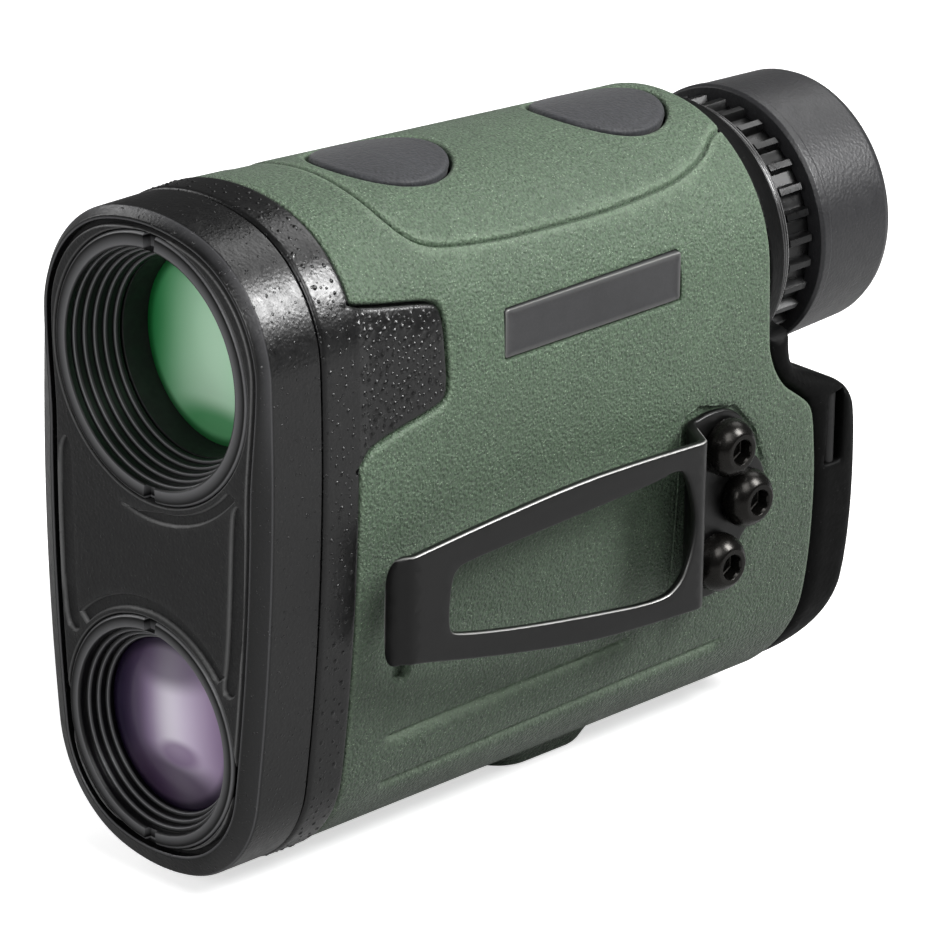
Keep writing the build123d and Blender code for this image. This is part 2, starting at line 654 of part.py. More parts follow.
with BuildPart() as badge_plates:
    badge_prism(19.2, 20.15)
    badge_prism(-20.15, -19.2)
save(badge_plates, "badge_plates")

with BuildPart() as tripod_insert:
    posts([TRIPOD_AT], -AXIS_Z, 6.9, TRIPOD_INSERT_RADIUS)
    posts([TRIPOD_AT], -AXIS_Z, 6.0, TRIPOD_BORE, mode=Mode.SUBTRACT)
save(tripod_insert, "tripod_insert")

# ---------------------------------------------------------------------------
# Buttons and their switches, stacked square to the top line
# ---------------------------------------------------------------------------
NECK_WIDTH = 7.6
PLUNGER_RADIUS = 1.6

for name, at in (("menu", MENU_AT), ("measure", MEASURE_AT)):
    with BuildPart() as button:
        # cap, trimmed to stand just proud of the body, then neck, flange and post
        top_shape(at, -3.6, 8.0, Ellipse, BUTTON_HALF_WIDTH, BUTTON_HALF_LENGTH)
        body_solid(20.0, 99.0, 0.25, mode=Mode.INTERSECT)
        top_shape(at, -3.9, 0.6, Rectangle, NECK_WIDTH, 2 * BUTTON_HALF_LENGTH - 2.4)
        top_shape(at, -4.9, 1.0, Rectangle, NECK_WIDTH, 2 * BUTTON_HALF_LENGTH + 1.9)
        top_shape(at, -5.9, 1.2, Circle, 2.0)
    save(button, f"{name}_button")

    with BuildPart() as plunger:
        top_shape(at, -7.6, 1.68, Circle, PLUNGER_RADIUS)
    save(plunger, f"{name}_plunger")

with BuildPart() as switch_bodies:
    for at in BUTTON_STATIONS:
        top_shape(at, -9.0, 2.3, Rectangle, 6.2, 6.2)
    for at in BUTTON_STATIONS:
        top_shape(at, -8.4, 3.0, Circle, PLUNGER_RADIUS + RUN, mode=Mode.SUBTRACT)
save(switch_bodies, "switch_bodies")

with BuildPart() as button_boards:
    for at in BUTTON_STATIONS:
        top_shape(at, -10.0, 1.0, Rectangle, 22.0, 12.6)
save(button_boards, "button_boards")

# ---------------------------------------------------------------------------
# Eyepiece
# ---------------------------------------------------------------------------
NECK_RADIUS = 13.6
EYE_CELL_RADIUS = 12.5
DIOPTER_RADIUS = 15.6
RIB_TIP_RADIUS, RIB_DEPTH, RIB_WIDTH, RIB_COUNT = 16.15, 0.9, 1.7, 30
FIELD_LENS_RADIUS = 11.05
EYE_LENS_RADIUS = 11.55
CARRIER_RADIUS = 15.0
CUP_FRONT, CUP_REAR = 101.24, 115.5
CUP_FRONT_RADIUS, CUP_REAR_RADIUS = 17.64, 16.9
CUP_SEAT = 112.7         # face of the cup's rear lip, just behind the carrier

with BuildPart() as eyepiece_housing:
    bore = EYE_CELL_RADIUS + RUN
    turned(EYE_AXIS, [(85.5, bore), (85.5, NECK_RADIUS), (88.4, NECK_RADIUS), (88.4, 16.0),
                      (94.4, 16.0), (94.4, 17.1), (95.6, 17.1), (95.6, NECK_RADIUS),
                      (112.0, NECK_RADIUS), (112.0, bore)])
save(eyepiece_housing, "eyepiece_housing")

with BuildPart() as diopter_ring:
    tube(EYE_AXIS, 95.75, 101.05, DIOPTER_RADIUS, NECK_RADIUS + RUN)
    with BuildSketch(across(96.2, EYE_AXIS)) as ribs:
        with PolarLocations(RIB_TIP_RADIUS - RIB_DEPTH / 2, RIB_COUNT):
            Rectangle(RIB_DEPTH, RIB_WIDTH)
    extrude(ribs.sketch, amount=-4.1)
save(diopter_ring, "diopter_ring")

with BuildPart() as eyepiece_cell:
    eye_bore, field_bore = EYE_LENS_RADIUS + RUN, FIELD_LENS_RADIUS + RUN
    turned(EYE_AXIS, [(87.0, 10.2), (87.0, EYE_CELL_RADIUS), (110.4, EYE_CELL_RADIUS),
                      (110.4, eye_bore), (99.0, eye_bore), (99.0, 10.2), (93.2, 10.2),
                      (93.2, field_bore), (89.2, field_bore), (89.2, 10.2)])
save(eyepiece_cell, "eyepiece_cell")

with BuildPart() as field_lens:
    lens(EYE_AXIS, 89.4, 1.8, FIELD_LENS_RADIUS, front_sag=0.0, rear_sag=1.6)
save(field_lens, "field_lens")

with BuildPart() as eye_lens:
    lens(EYE_AXIS, 99.42, 4.6, EYE_LENS_RADIUS, front_sag=1.4, rear_sag=0.8)
save(eye_lens, "eye_lens")

with BuildPart() as eye_lens_lock_ring:
    tube(EYE_AXIS, 104.3, 106.0, EYE_LENS_RADIUS, 10.8)
save(eye_lens_lock_ring, "eye_lens_lock_ring")

with BuildPart() as eyecup_carrier:
    tube(EYE_AXIS, 101.4, CUP_SEAT - 0.1, CARRIER_RADIUS, NECK_RADIUS + RUN)
save(eyecup_carrier, "eyecup_carrier")

with BuildPart() as eyecup:
    turned(EYE_AXIS, [(CUP_FRONT, CARRIER_RADIUS + RUN), (CUP_FRONT, CUP_FRONT_RADIUS - 0.4),
                      (CUP_FRONT + 0.4, CUP_FRONT_RADIUS),
                      (CUP_REAR - 1.5, CUP_REAR_RADIUS + 0.1),
                      (CUP_REAR - 0.5, CUP_REAR_RADIUS - 0.3),
                      (CUP_REAR, CUP_REAR_RADIUS - 1.2), (CUP_REAR, 14.2),
                      (CUP_REAR - 0.7, 13.2), (CUP_SEAT, 13.2),
                      (CUP_SEAT, CARRIER_RADIUS + RUN)])
save(eyecup, "eyecup")

# ---------------------------------------------------------------------------
# Battery, CR2 size
# ---------------------------------------------------------------------------
BATTERY_RADIUS = 7.8
BATTERY_LENGTH = 27.0
BATTERY_FRONT = 76.0
BATTERY_REAR = BATTERY_FRONT + BATTERY_LENGTH
TERMINAL_REAR = BATTERY_FRONT - 0.05
CONTACT_FRONT = BATTERY_REAR + 0.05

with BuildPart() as battery_tube:
    turned(BATTERY_AXIS, [(73.6, 0), (73.6, BATTERY_TUBE_RADIUS), (106.9, BATTERY_TUBE_RADIUS),
                          (106.9, 8.2), (74.9, 8.2), (74.9, 0)])
save(battery_tube, "battery_tube")

with BuildPart() as battery_terminal:
    turned(BATTERY_AXIS, [(75.0, 0), (75.0, 6.5), (75.4, 6.5), (75.4, 3.0),
                          (TERMINAL_REAR, 2.4), (TERMINAL_REAR, 0)])
save(battery_terminal, "battery_terminal")

with BuildPart() as battery:
    turned(BATTERY_AXIS, [(BATTERY_FRONT, 0), (BATTERY_FRONT, 2.3), (76.8, 2.3),
                          (76.8, BATTERY_RADIUS - 0.4), (77.2, BATTERY_RADIUS),
                          (BATTERY_REAR, BATTERY_RADIUS), (BATTERY_REAR, 0)])
save(battery, "battery")

with BuildPart() as battery_contact:
    turned(BATTERY_AXIS, [(CONTACT_FRONT, 0), (CONTACT_FRONT, 3.2), (103.5, 6.5),
                          (104.1, 6.5), (104.1, 0)])
save(battery_contact, "battery_contact")

with BuildPart() as battery_cap:
    turned(BATTERY_AXIS, [(104.2, 0), (104.2, 8.12), (107.55, 8.12), (107.55, CAP_RADIUS),
                          (109.6, CAP_RADIUS), (110.1, CAP_RADIUS - 0.5), (110.1, 0)])
    # coin slot
    block(-7.0, 7.0, 108.7, 111.0, BATTERY_AXIS - 1.0, BATTERY_AXIS + 1.0, mode=Mode.SUBTRACT)
save(battery_cap, "battery_cap")

with BuildPart() as battery_cap_seal:
    tube(BATTERY_AXIS, 107.05, 107.5, 11.0, 9.6)
save(battery_cap_seal, "battery_cap_seal")

# ---------------------------------------------------------------------------
# Belt clip on the +X side
# ---------------------------------------------------------------------------
ARM_OUTER_X = 27.0
ARM_THICKNESS = 1.2
ARM_INNER_X = ARM_OUTER_X - ARM_THICKNESS
BASE_OUTER_X = 21.5
HEAD_X = BASE_OUTER_X + 0.02     # underside of the screw heads

# side views: (station, height)
CLIP_BASE = [(74.5, -20.4), (77.0, -19.9), (81.0, -20.6), (83.6, -23.6), (84.4, -27.6),
             (86.8, -29.6), (87.6, -33.2), (86.2, -36.6), (82.8, -38.4), (82.6, -42.0),
             (80.4, -44.6), (77.0, -45.2), (74.5, -44.6)]
ARM = [(18.9, -21.6), (31.3, -20.7), (46.6, -19.8), (56.9, -19.9), (71.4, -20.6),
       (71.4, -31.0), (70.3, -43.1), (63.2, -43.1), (49.8, -42.2), (31.7, -38.8),
       (18.9, -35.8)]
WINDOW = [(62.0, -23.6), (64.2, -23.0), (67.2, -23.6), (69.0, -28.8), (69.4, -31.4),
          (68.6, -35.2), (66.8, -38.7), (63.2, -40.3), (36.7, -36.3), (26.5, -34.1),
          (25.4, -33.3), (25.2, -30.9), (25.6, -26.8), (26.3, -25.5), (27.8, -24.9)]
# plan views: (x, station)
FOOT = (20.75, 73.55)
WEB = [(20.3, 73.0), (25.5, 70.5), (ARM_INNER_X, 69.8), (ARM_OUTER_X, 69.8),
       (ARM_OUTER_X, 71.2), (26.2, 71.9), (21.2, 74.1)]
LIP = [(ARM_OUTER_X, 19.6), (ARM_OUTER_X, 18.7), (26.3, 17.9), (23.5, 17.3), (23.3, 18.5),
       (25.6, 19.0), (ARM_INNER_X, 19.6)]
# half profile of a clip screw: (x, radius)
SCREW = [(14.6, 0), (14.6, 1.45), (HEAD_X, 1.45), (HEAD_X, 3.9), (22.7, 3.9), (24.0, 3.25),
         (24.8, 2.3), (24.8, 1.6), (23.0, 1.6), (22.6, 0)]

with BuildPart() as clip_base:
    side_prism(CLIP_BASE, 20.0, BASE_OUTER_X)
    cross_bars(CLIP_SCREWS, 18.0, 24.0, 1.6, mode=Mode.SUBTRACT)
save(clip_base, "clip_base")

with BuildPart() as clip_arm:
    # web from the rounded pivot foot out to the arm
    with BuildSketch(plan(-43.0)) as web:
        with BuildLine():
            Polyline(*WEB, close=True)
        make_face()
        with Locations(FOOT):
            Circle(0.75)
    extrude(web.sketch, amount=22.4)
    side_prism(ARM, ARM_INNER_X, ARM_OUTER_X)
    # inward lead-in lip at the front
    extrude(polygon(plan(-36.4), LIP), amount=14.0)
    side_prism(WINDOW, 20.0, 30.0, mode=Mode.SUBTRACT)
save(clip_arm, "clip_arm")

with BuildPart() as clip_screws:
    for at, height in CLIP_SCREWS:
        centre = (0, FRONT_Y + at, AXIS_Z + height)
        profile_plane = Plane(origin=centre, x_dir=(1, 0, 0), z_dir=(0, 0, 1))
        revolve(polygon(profile_plane, SCREW), axis=Axis(centre, (1, 0, 0)))
save(clip_screws, "clip_screws")

with BuildPart() as clip_inserts:
    cross_bars(CLIP_SCREWS, 14.3, 17.4, INSERT_RADIUS)
    cross_bars(CLIP_SCREWS, 13.0, 20.0, 1.5, mode=Mode.SUBTRACT)
save(clip_inserts, "clip_inserts")
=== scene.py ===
"""Laser rangefinder monocular: detailed outer pieces, finishes and a pale studio stage.

The body stands on its narrow underside. Its front carries two openings, the objective above
the laser; the eyepiece and the battery cap are at the rear, two buttons on top and a belt
clip on the right side. Lengths are millimetres: x to the right, y back from the front face,
z up from the objective axis. Points on the unrolled body are (girth, y), where girth is the
arc length from the top centre line, positive to the right.
"""
import math
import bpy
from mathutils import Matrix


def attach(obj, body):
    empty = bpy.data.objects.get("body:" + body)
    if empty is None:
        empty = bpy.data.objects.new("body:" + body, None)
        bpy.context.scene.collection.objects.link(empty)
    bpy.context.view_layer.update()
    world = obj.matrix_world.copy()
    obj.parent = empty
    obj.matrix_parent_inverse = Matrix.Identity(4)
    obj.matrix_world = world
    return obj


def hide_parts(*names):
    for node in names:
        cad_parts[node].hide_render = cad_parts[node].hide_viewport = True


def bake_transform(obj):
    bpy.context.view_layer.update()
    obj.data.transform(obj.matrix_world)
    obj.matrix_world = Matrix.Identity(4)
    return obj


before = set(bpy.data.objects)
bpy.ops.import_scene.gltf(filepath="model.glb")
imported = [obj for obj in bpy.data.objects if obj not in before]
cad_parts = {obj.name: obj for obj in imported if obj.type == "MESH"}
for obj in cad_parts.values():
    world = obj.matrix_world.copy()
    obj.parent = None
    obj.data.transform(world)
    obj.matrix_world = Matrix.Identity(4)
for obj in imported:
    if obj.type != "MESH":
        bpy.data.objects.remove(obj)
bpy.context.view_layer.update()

from types import SimpleNamespace

import bpy
import bmesh
import numpy as np
from mathutils import Matrix, Vector
from mathutils.geometry import delaunay_2d_cdt
from mathutils.kdtree import KDTree

PI = math.pi
TURN = 2 * PI

# Place of the design's origin in the scene.
FRONT_Y, AXIS_Z = -62.0, 68.8
# Body outline at the band's end and at the rear: top z, top radius, shoulder radius,
# side radius, side centre z, half width, bottom z, bottom radius, lower corner radius.
FRONT_OUTLINE = (19.9, 30.0, 17.0, 310.0, -13.2, 20.9, -66.8, 26.0, 16.0)
REAR_OUTLINE = (15.1, 22.0, 20.0, 310.0, -16.4, 20.55, -66.5, 26.0, 16.0)
BEZEL_END, BAND_END, REAR_END = 9.38, 15.4, 99.6
ARMOUR_START = 15.62
LASER_Z, EYE_Z, BATTERY_Z = -48.16, -4.91, -42.0
MENU_Y, MEASURE_Y = 38.2, 76.7
TRIPOD_Y = 62.0
SEAM_GAP = 0.02                 # vertices of the two halves closer than this are welded


def to_scene(points):
    """Design points in millimetres to scene points in metres."""
    points = np.asarray(points, float)
    return np.stack([points[:, 0], points[:, 1] + FRONT_Y, points[:, 2] + AXIS_Z], 1) / 1000.0


# ---------------------------------------------------------------------------
# Shader nodes
# ---------------------------------------------------------------------------
def linear(colour):
    """Display colour to linear RGBA."""
    return tuple(v / 12.92 if v <= 0.04045 else ((v + 0.055) / 1.055) ** 2.4
                 for v in colour) + (1.0,)


def grey(value):
    return (value, value, value, 1.0)


class Nodes:
    """A node tree that starts with only its output node."""

    def __init__(self, tree, output):
        self.tree = tree
        tree.nodes.clear()
        self.out = self.add(output)

    def add(self, kind, **settings):
        node = self.tree.nodes.new(kind)
        for key, value in settings.items():
            setattr(node, key, value)
        return node

    def link(self, source, target):
        self.tree.links.new(source, target)

    def feed(self, socket, value):
        """Links a socket to the input, or sets the input to a plain value."""
        if isinstance(value, bpy.types.NodeSocket):
            self.link(value, socket)
        else:
            socket.default_value = value

    def scaled(self, vector, scale):
        node = self.add("ShaderNodeMapping")
        node.inputs["Scale"].default_value = scale
        self.link(vector, node.inputs["Vector"])
        return node.outputs["Vector"]

    def separate(self, vector):
        node = self.add("ShaderNodeSeparateXYZ")
        self.link(vector, node.inputs[0])
        return node.outputs

    def noise(self, scale, detail=3.0, rough=0.55, vector=None):
        node = self.add("ShaderNodeTexNoise")
        node.inputs["Scale"].default_value = scale
        node.inputs["Detail"].default_value = detail
        node.inputs["Roughness"].default_value = rough
        self.link(vector or self.place, node.inputs["Vector"])
        return node.outputs["Fac"]

    def voronoi(self, scale, feature="F1"):
        node = self.add("ShaderNodeTexVoronoi", feature=feature)
        node.inputs["Scale"].default_value = scale
        self.link(self.place, node.inputs["Vector"])
        return node.outputs["Distance"]

    def ramp(self, factor, stops, interpolation="LINEAR"):
        """Colour ramp; each stop is (position, linear colour or grey value)."""
        node = self.add("ShaderNodeValToRGB")
        node.color_ramp.interpolation = interpolation
        elements = node.color_ramp.elements
        while len(elements) < len(stops):
            elements.new(0.5)
        for element, (position, colour) in zip(elements, stops):
            element.position = position
            element.color = grey(colour) if np.isscalar(colour) else colour
        self.link(factor, node.inputs["Fac"])
        return node.outputs["Color"]

    def mix(self, factor, first, second, mode="MIX"):
        node = self.add("ShaderNodeMix", data_type="RGBA", blend_type=mode)
        self.feed(node.inputs[0], factor)
        self.feed(node.inputs[6], first)
        self.feed(node.inputs[7], second)
        return node.outputs[2]

    def multiply(self, first, second):
        return self.mix(1.0, first, second, "MULTIPLY")

    def math(self, operation, first, second=0.0):
        node = self.add("ShaderNodeMath", operation=operation)
        self.feed(node.inputs[0], first)
        self.feed(node.inputs[1], second)
        return node.outputs[0]

    def hypot(self, first, second):
        squares = [self.math("MULTIPLY", value, value) for value in (first, second)]
        return self.math("SQRT", self.math("ADD", *squares))

    def map_range(self, value, low, high, interpolation="LINEAR"):
        node = self.add("ShaderNodeMapRange", interpolation_type=interpolation)
        self.link(value, node.inputs["Value"])
        node.inputs["From Min"].default_value = low
        node.inputs["From Max"].default_value = high
        return node.outputs[0]

    def bump(self, height, depth_mm, normal=None, strength=1.0):
        node = self.add("ShaderNodeBump")
        node.inputs["Strength"].default_value = strength
        node.inputs["Distance"].default_value = depth_mm / 1000.0
        self.link(height, node.inputs["Height"])
        if normal is not None:
            self.link(normal, node.inputs["Normal"])
        return node.outputs["Normal"]

    def principled(self, **inputs):
        """Principled shader; input names are written with underscores for spaces."""
        node = self.add("ShaderNodeBsdfPrincipled")
        for name, value in inputs.items():
            self.feed(node.inputs[name.replace("_", " ")], value)
        return node


def material_nodes(name):
    """Nodes of a new material, with the object's place in millimetres as texture input."""
    material = bpy.data.materials.new(name)
    material.use_nodes = True
    nodes = Nodes(material.node_tree, "ShaderNodeOutputMaterial")
    nodes.material = material
    coords = nodes.add("ShaderNodeTexCoord")
    nodes.place = nodes.scaled(coords.outputs["Object"], (1000, 1000, 1000))
    return nodes


# ---------------------------------------------------------------------------
# Materials
# ---------------------------------------------------------------------------
MAT = {}


def relief_height(nodes, kind, scale):
    """Height of one bump layer; kind is a pattern name or a stretch for brushed noise."""
    if kind == "noise":
        return nodes.noise(scale, 4, 0.6)
    if kind == "cells":
        return nodes.ramp(nodes.voronoi(scale, "SMOOTH_F1"), [(0.0, 1), (0.75, 0)])
    if kind == "drops":                         # scattered raised beads
        beads = nodes.ramp(nodes.voronoi(scale), [(0.0, 1), (0.13, 0.85), (0.26, 0)], "EASE")
        patches = nodes.ramp(nodes.noise(scale * 0.4, 1), [(0.47, 0), (0.55, 1)])
        return nodes.multiply(beads, patches)
    if kind == "pits":
        return nodes.ramp(nodes.voronoi(scale), [(0.0, 0), (0.35, 1)])
    return nodes.noise(scale, 3, 0.5, nodes.scaled(nodes.place, kind))


def surface(name, colour, rough, metal=0.0, spec=0.5, coat=0.0, sheen=0.0, cloud=(0.06, 0.12),
            grain=None, speck=None, bumps=(), rough_var=0.12, edge_highlight=None, shade_and_tone_ramp=None):
    """Procedural surface.

    cloud: (scale, strength) of the broad colour change; grain: (scale, depth[, half width]);
    speck: (scale, size, colour, amount); bumps: (kind, scale, depth in mm, strength) layers;
    edge_highlight: (colour, amount) of the painted highlight lines along edges;
    shade_and_tone_ramp: (axis, from, to, grey from, grey to), a grey ramp along an axis.
    """
    nodes = material_nodes(name)
    cloud_scale, cloud_strength = cloud
    tones = [tuple(v * k for v in linear(colour)[:3]) + (1,)
             for k in (1 - cloud_strength, 1 + cloud_strength)]
    base = nodes.ramp(nodes.noise(cloud_scale, 4), list(zip((0.3, 0.7), tones)))
    # grey ramp along an axis: on the armour it is painted shade, darker at the bottom and lighter
    # at the top; on the battery wrap it darkens the wrap beyond y 37 mm
    if shade_and_tone_ramp:
        axis, low, high, low_grey, high_grey = shade_and_tone_ramp
        along = nodes.map_range(nodes.separate(nodes.place)[axis], low, high, "SMOOTHSTEP")
        base = nodes.multiply(base, nodes.ramp(along, [(0, low_grey), (1, high_grey)]))
    if grain:
        half = grain[2] if len(grain) > 2 else 0.2
        base = nodes.multiply(base, nodes.ramp(nodes.noise(grain[0], 2, 0.7),
                                               [(0.5 - half, 1 - grain[1]), (0.5 + half, 1)]))
    if speck:
        scale, size, speck_colour, amount = speck
        dots = nodes.ramp(nodes.voronoi(scale), [(0.0, 1), (size, 1), (size + 0.07, 0)])
        patches = nodes.ramp(nodes.noise(scale * 0.35, 1), [(0.46, 0), (0.56, 1)])
        dots = nodes.multiply(nodes.multiply(dots, patches), grey(amount))
        base = nodes.mix(dots, base, linear(speck_colour))
    # painted highlight: the edge_line attribute lightens the colour along edges
    if edge_highlight:
        line = nodes.add("ShaderNodeAttribute", attribute_name="edge_line")
        highlit = nodes.math("MULTIPLY", line.outputs["Fac"], edge_highlight[1])
        base = nodes.mix(highlit, base, linear(edge_highlight[0]))
    roughness = nodes.ramp(nodes.noise(cloud_scale * 7, 4),
                           [(0.25, rough - rough_var), (0.75, rough + rough_var)])
    shader = nodes.principled(Base_Color=base, Roughness=roughness, Metallic=metal,
                              Specular_IOR_Level=spec, Coat_Weight=coat, Coat_Roughness=0.15,
                              Sheen_Weight=sheen)
    nodes.link(shader.outputs[0], nodes.out.inputs[0])
    normal = None
    for kind, scale, depth, strength in bumps:
        normal = nodes.bump(relief_height(nodes, kind, scale), depth, normal, strength)
    if normal is not None:
        nodes.link(normal, shader.inputs["Normal"])
    MAT[name] = nodes.material


def glass_with_painted_reflection(name, stops, centre_z, radius, angle, tint, rim, spots=(), metal=0.0):
    """Lens with a painted reflection swinging across the dome and painted shade at the rim.

    stops: (position, colour) of the painted reflection across the dome, along angle in degrees;
    spots: (x, z, x radius, z radius, colour, amount) of soft patches of painted reflection and
    shade.
    """
    nodes = material_nodes(name)
    place = nodes.separate(nodes.place)
    x, z = place[0], nodes.math("SUBTRACT", place[2], AXIS_Z + centre_z)
    angle = math.radians(angle)
    across = nodes.math("ADD", nodes.math("MULTIPLY", x, math.cos(angle) / radius),
                        nodes.math("MULTIPLY", z, math.sin(angle) / radius))
    wobble = nodes.math("SUBTRACT", nodes.noise(0.045, 1), 0.5)
    across = nodes.math("ADD", across, nodes.math("MULTIPLY", wobble, 0.35))
    across = nodes.math("ADD", nodes.math("MULTIPLY", across, 0.5), 0.5)
    # painted reflection: the stops' pale band across the dome
    base = nodes.ramp(across, [(at, linear(colour)) for at, colour in stops], "B_SPLINE")
    for spot_x, spot_z, radius_x, radius_z, colour, amount in spots:
        reach = nodes.hypot(
            nodes.math("DIVIDE", nodes.math("SUBTRACT", x, spot_x), radius_x),
            nodes.math("DIVIDE", nodes.math("SUBTRACT", z, spot_z), radius_z))
        patch = nodes.ramp(reach, [(0.45, amount), (1.0, 0)], "EASE")
        base = nodes.mix(patch, base, linear(colour))
    # painted shade: the colour darkens towards the rim
    reach = nodes.math("DIVIDE", nodes.hypot(x, z), radius)
    edge = nodes.ramp(reach, [(0.83, 0), (0.93, 0.85), (1.0, 1)], "EASE")
    base = nodes.mix(edge, base, linear(rim))
    dust = nodes.ramp(nodes.voronoi(1.4), [(0.0, 0.25), (0.05, 0)])
    base = nodes.mix(dust, base, linear((0.9, 0.95, 0.92)))
    shader = nodes.principled(
        Base_Color=base, Roughness=0.32, Metallic=metal, Specular_IOR_Level=0.75,
        Specular_Tint=linear(tint), Coat_Weight=0.35, Coat_Roughness=0.12,
        Coat_Tint=linear(tint), Normal=nodes.bump(nodes.noise(0.35, 2), 0.004))
    nodes.link(shader.outputs[0], nodes.out.inputs[0])
    MAT[name] = nodes.material


# In the surfaces below, edge_highlight is the colour and strength of painted highlight lines along
# edges.
# Outer rubber and plastic
# the armour's ramp along z is painted shade: darker low on the body, lighter high
surface("armour_green", colour=(0.318, 0.402, 0.312), rough=0.52, sheen=0.08,
        cloud=(0.05, 0.09), grain=(2.9, 0.74, 0.26), speck=(2.8, 0.15, (0.72, 0.80, 0.69), 0.5),
        bumps=[("cells", 2.5, 0.21, 0.95), ("noise", 3.0, 0.20, 0.95), ("noise", 0.9, 0.05, 0.5)],
        rough_var=0.10, shade_and_tone_ramp=(2, 4.0, 76.0, 0.62, 1.22), edge_highlight=((0.62, 0.70, 0.60), 0.8))
surface("bezel_black", colour=(0.036, 0.036, 0.038), rough=0.33, cloud=(0.1, 0.18),
        grain=(3.0, 0.5, 0.14), speck=(2.0, 0.10, (0.30, 0.30, 0.29), 0.35),
        bumps=[("cells", 2.4, 0.03, 0.7), ("noise", 3.6, 0.02, 0.6), ("drops", 1.25, 0.07, 0.9)],
        rough_var=0.07, edge_highlight=((0.42, 0.42, 0.43), 0.55))
surface("panel_black", colour=(0.085, 0.085, 0.088), rough=0.46, cloud=(0.09, 0.15),
        grain=(2.8, 0.5, 0.14), speck=(2.0, 0.10, (0.36, 0.36, 0.34), 0.4),
        bumps=[("cells", 2.2, 0.05, 0.8), ("noise", 3.6, 0.03, 0.7), ("drops", 1.1, 0.05, 0.8)],
        rough_var=0.07, edge_highlight=((0.50, 0.50, 0.50), 0.6))
surface("band_black", colour=(0.038, 0.038, 0.040), rough=0.31, cloud=(0.1, 0.2),
        grain=(2.8, 0.5, 0.14), rough_var=0.07,
        bumps=[("cells", 2.4, 0.03, 0.7), ("noise", 3.4, 0.02, 0.6), ("drops", 1.25, 0.07, 0.9)])
surface("housing_black", colour=(0.055, 0.055, 0.058), rough=0.6, cloud=(0.1, 0.2),
        grain=(3.0, 0.2), bumps=[("noise", 3.0, 0.02, 0.6)])
surface("cover_black", colour=(0.010, 0.011, 0.011), rough=0.55, spec=0.10, cloud=(0.08, 0.2),
        grain=(3.0, 0.22), speck=(1.1, 0.08, (0.24, 0.24, 0.24), 0.3),
        bumps=[("cells", 1.7, 0.035, 0.7), ("noise", 4.0, 0.015, 0.5)], rough_var=0.08)

# Turned black rings
surface("anodised_black", colour=(0.026, 0.026, 0.028), rough=0.30, metal=0.2, spec=0.55,
        cloud=(0.12, 0.2), grain=(4.0, 0.15), bumps=[((0.15, 3.0, 0.15), 3.0, 0.006, 0.7)],
        rough_var=0.06, edge_highlight=((0.62, 0.62, 0.63), 0.5))
surface("ring_black", colour=(0.012, 0.012, 0.013), rough=0.36, spec=0.3,
        cloud=(0.12, 0.2), grain=(4.0, 0.15), bumps=[((0.15, 3.0, 0.15), 3.0, 0.005, 0.7)],
        rough_var=0.05, edge_highlight=((0.66, 0.66, 0.67), 0.45))
surface("flange_black", colour=(0.055, 0.055, 0.058), rough=0.27, metal=0.2, spec=0.6,
        cloud=(0.12, 0.2), grain=(4.0, 0.15), bumps=[("noise", 2.5, 0.012, 0.6)],
        rough_var=0.06, edge_highlight=((0.7, 0.7, 0.7), 0.4))

# Soft parts, badge and clip
surface("cup_rubber", colour=(0.125, 0.125, 0.135), rough=0.44, sheen=0.05,
        cloud=(0.07, 0.12), grain=(2.8, 0.45, 0.14), speck=(1.8, 0.08, (0.42, 0.42, 0.42), 0.3),
        bumps=[("cells", 2.4, 0.04, 0.7), ("noise", 3.0, 0.03, 0.7)], rough_var=0.06)
surface("button_grey", colour=(0.19, 0.195, 0.21), rough=0.60, spec=0.40, sheen=0.1,
        cloud=(0.08, 0.12), grain=(2.6, 0.5, 0.14), speck=(1.9, 0.10, (0.44, 0.44, 0.44), 0.35),
        bumps=[("cells", 2.3, 0.07, 0.8), ("noise", 3.0, 0.05, 0.8)], rough_var=0.06)
surface("badge_grey", colour=(0.25, 0.25, 0.255), rough=0.42, metal=0.45,
        cloud=(0.12, 0.12), grain=(3.5, 0.12), rough_var=0.07, edge_highlight=((0.62, 0.62, 0.61), 0.6),
        bumps=[((3.0, 0.12, 0.6), 2.0, 0.01, 0.6), ("noise", 5.0, 0.006, 0.5)])
surface("steel_black", colour=(0.04, 0.039, 0.038), rough=0.36, metal=0.3, spec=0.55,
        cloud=(0.08, 0.16), grain=(3.0, 0.12), rough_var=0.08, edge_highlight=((0.80, 0.80, 0.79), 0.75),
        bumps=[("noise", 1.1, 0.015, 0.6), ("noise", 5.0, 0.006, 0.6)])
surface("screw_black", colour=(0.15, 0.145, 0.138), rough=0.26, metal=0.85, spec=0.6,
        cloud=(0.2, 0.2), grain=(4.0, 0.1), bumps=[("noise", 2.4, 0.004, 0.5)],
        rough_var=0.05, edge_highlight=((0.85, 0.83, 0.8), 0.6))

# Inner pieces
surface("steel_plain", colour=(0.56, 0.56, 0.55), rough=0.3, metal=1.0, cloud=(0.1, 0.08),
        grain=(4.0, 0.08), bumps=[((0.1, 3.0, 3.0), 2.0, 0.006, 0.6)],
        edge_highlight=((0.9, 0.9, 0.9), 0.4))
surface("brass_plain", colour=(0.62, 0.50, 0.28), rough=0.32, metal=1.0, cloud=(0.15, 0.12),
        grain=(4.0, 0.1), bumps=[((3.0, 3.0, 0.15), 2.0, 0.01, 0.7)],
        edge_highlight=((0.9, 0.8, 0.5), 0.5))
surface("frame_grey", colour=(0.42, 0.42, 0.43), rough=0.42, metal=0.9, cloud=(0.1, 0.1),
        grain=(3.0, 0.1), bumps=[("cells", 1.6, 0.03, 0.6)])
surface("seal_rubber", colour=(0.04, 0.04, 0.042), rough=0.55, cloud=(0.2, 0.2),
        bumps=[("noise", 3.0, 0.02, 0.6)])
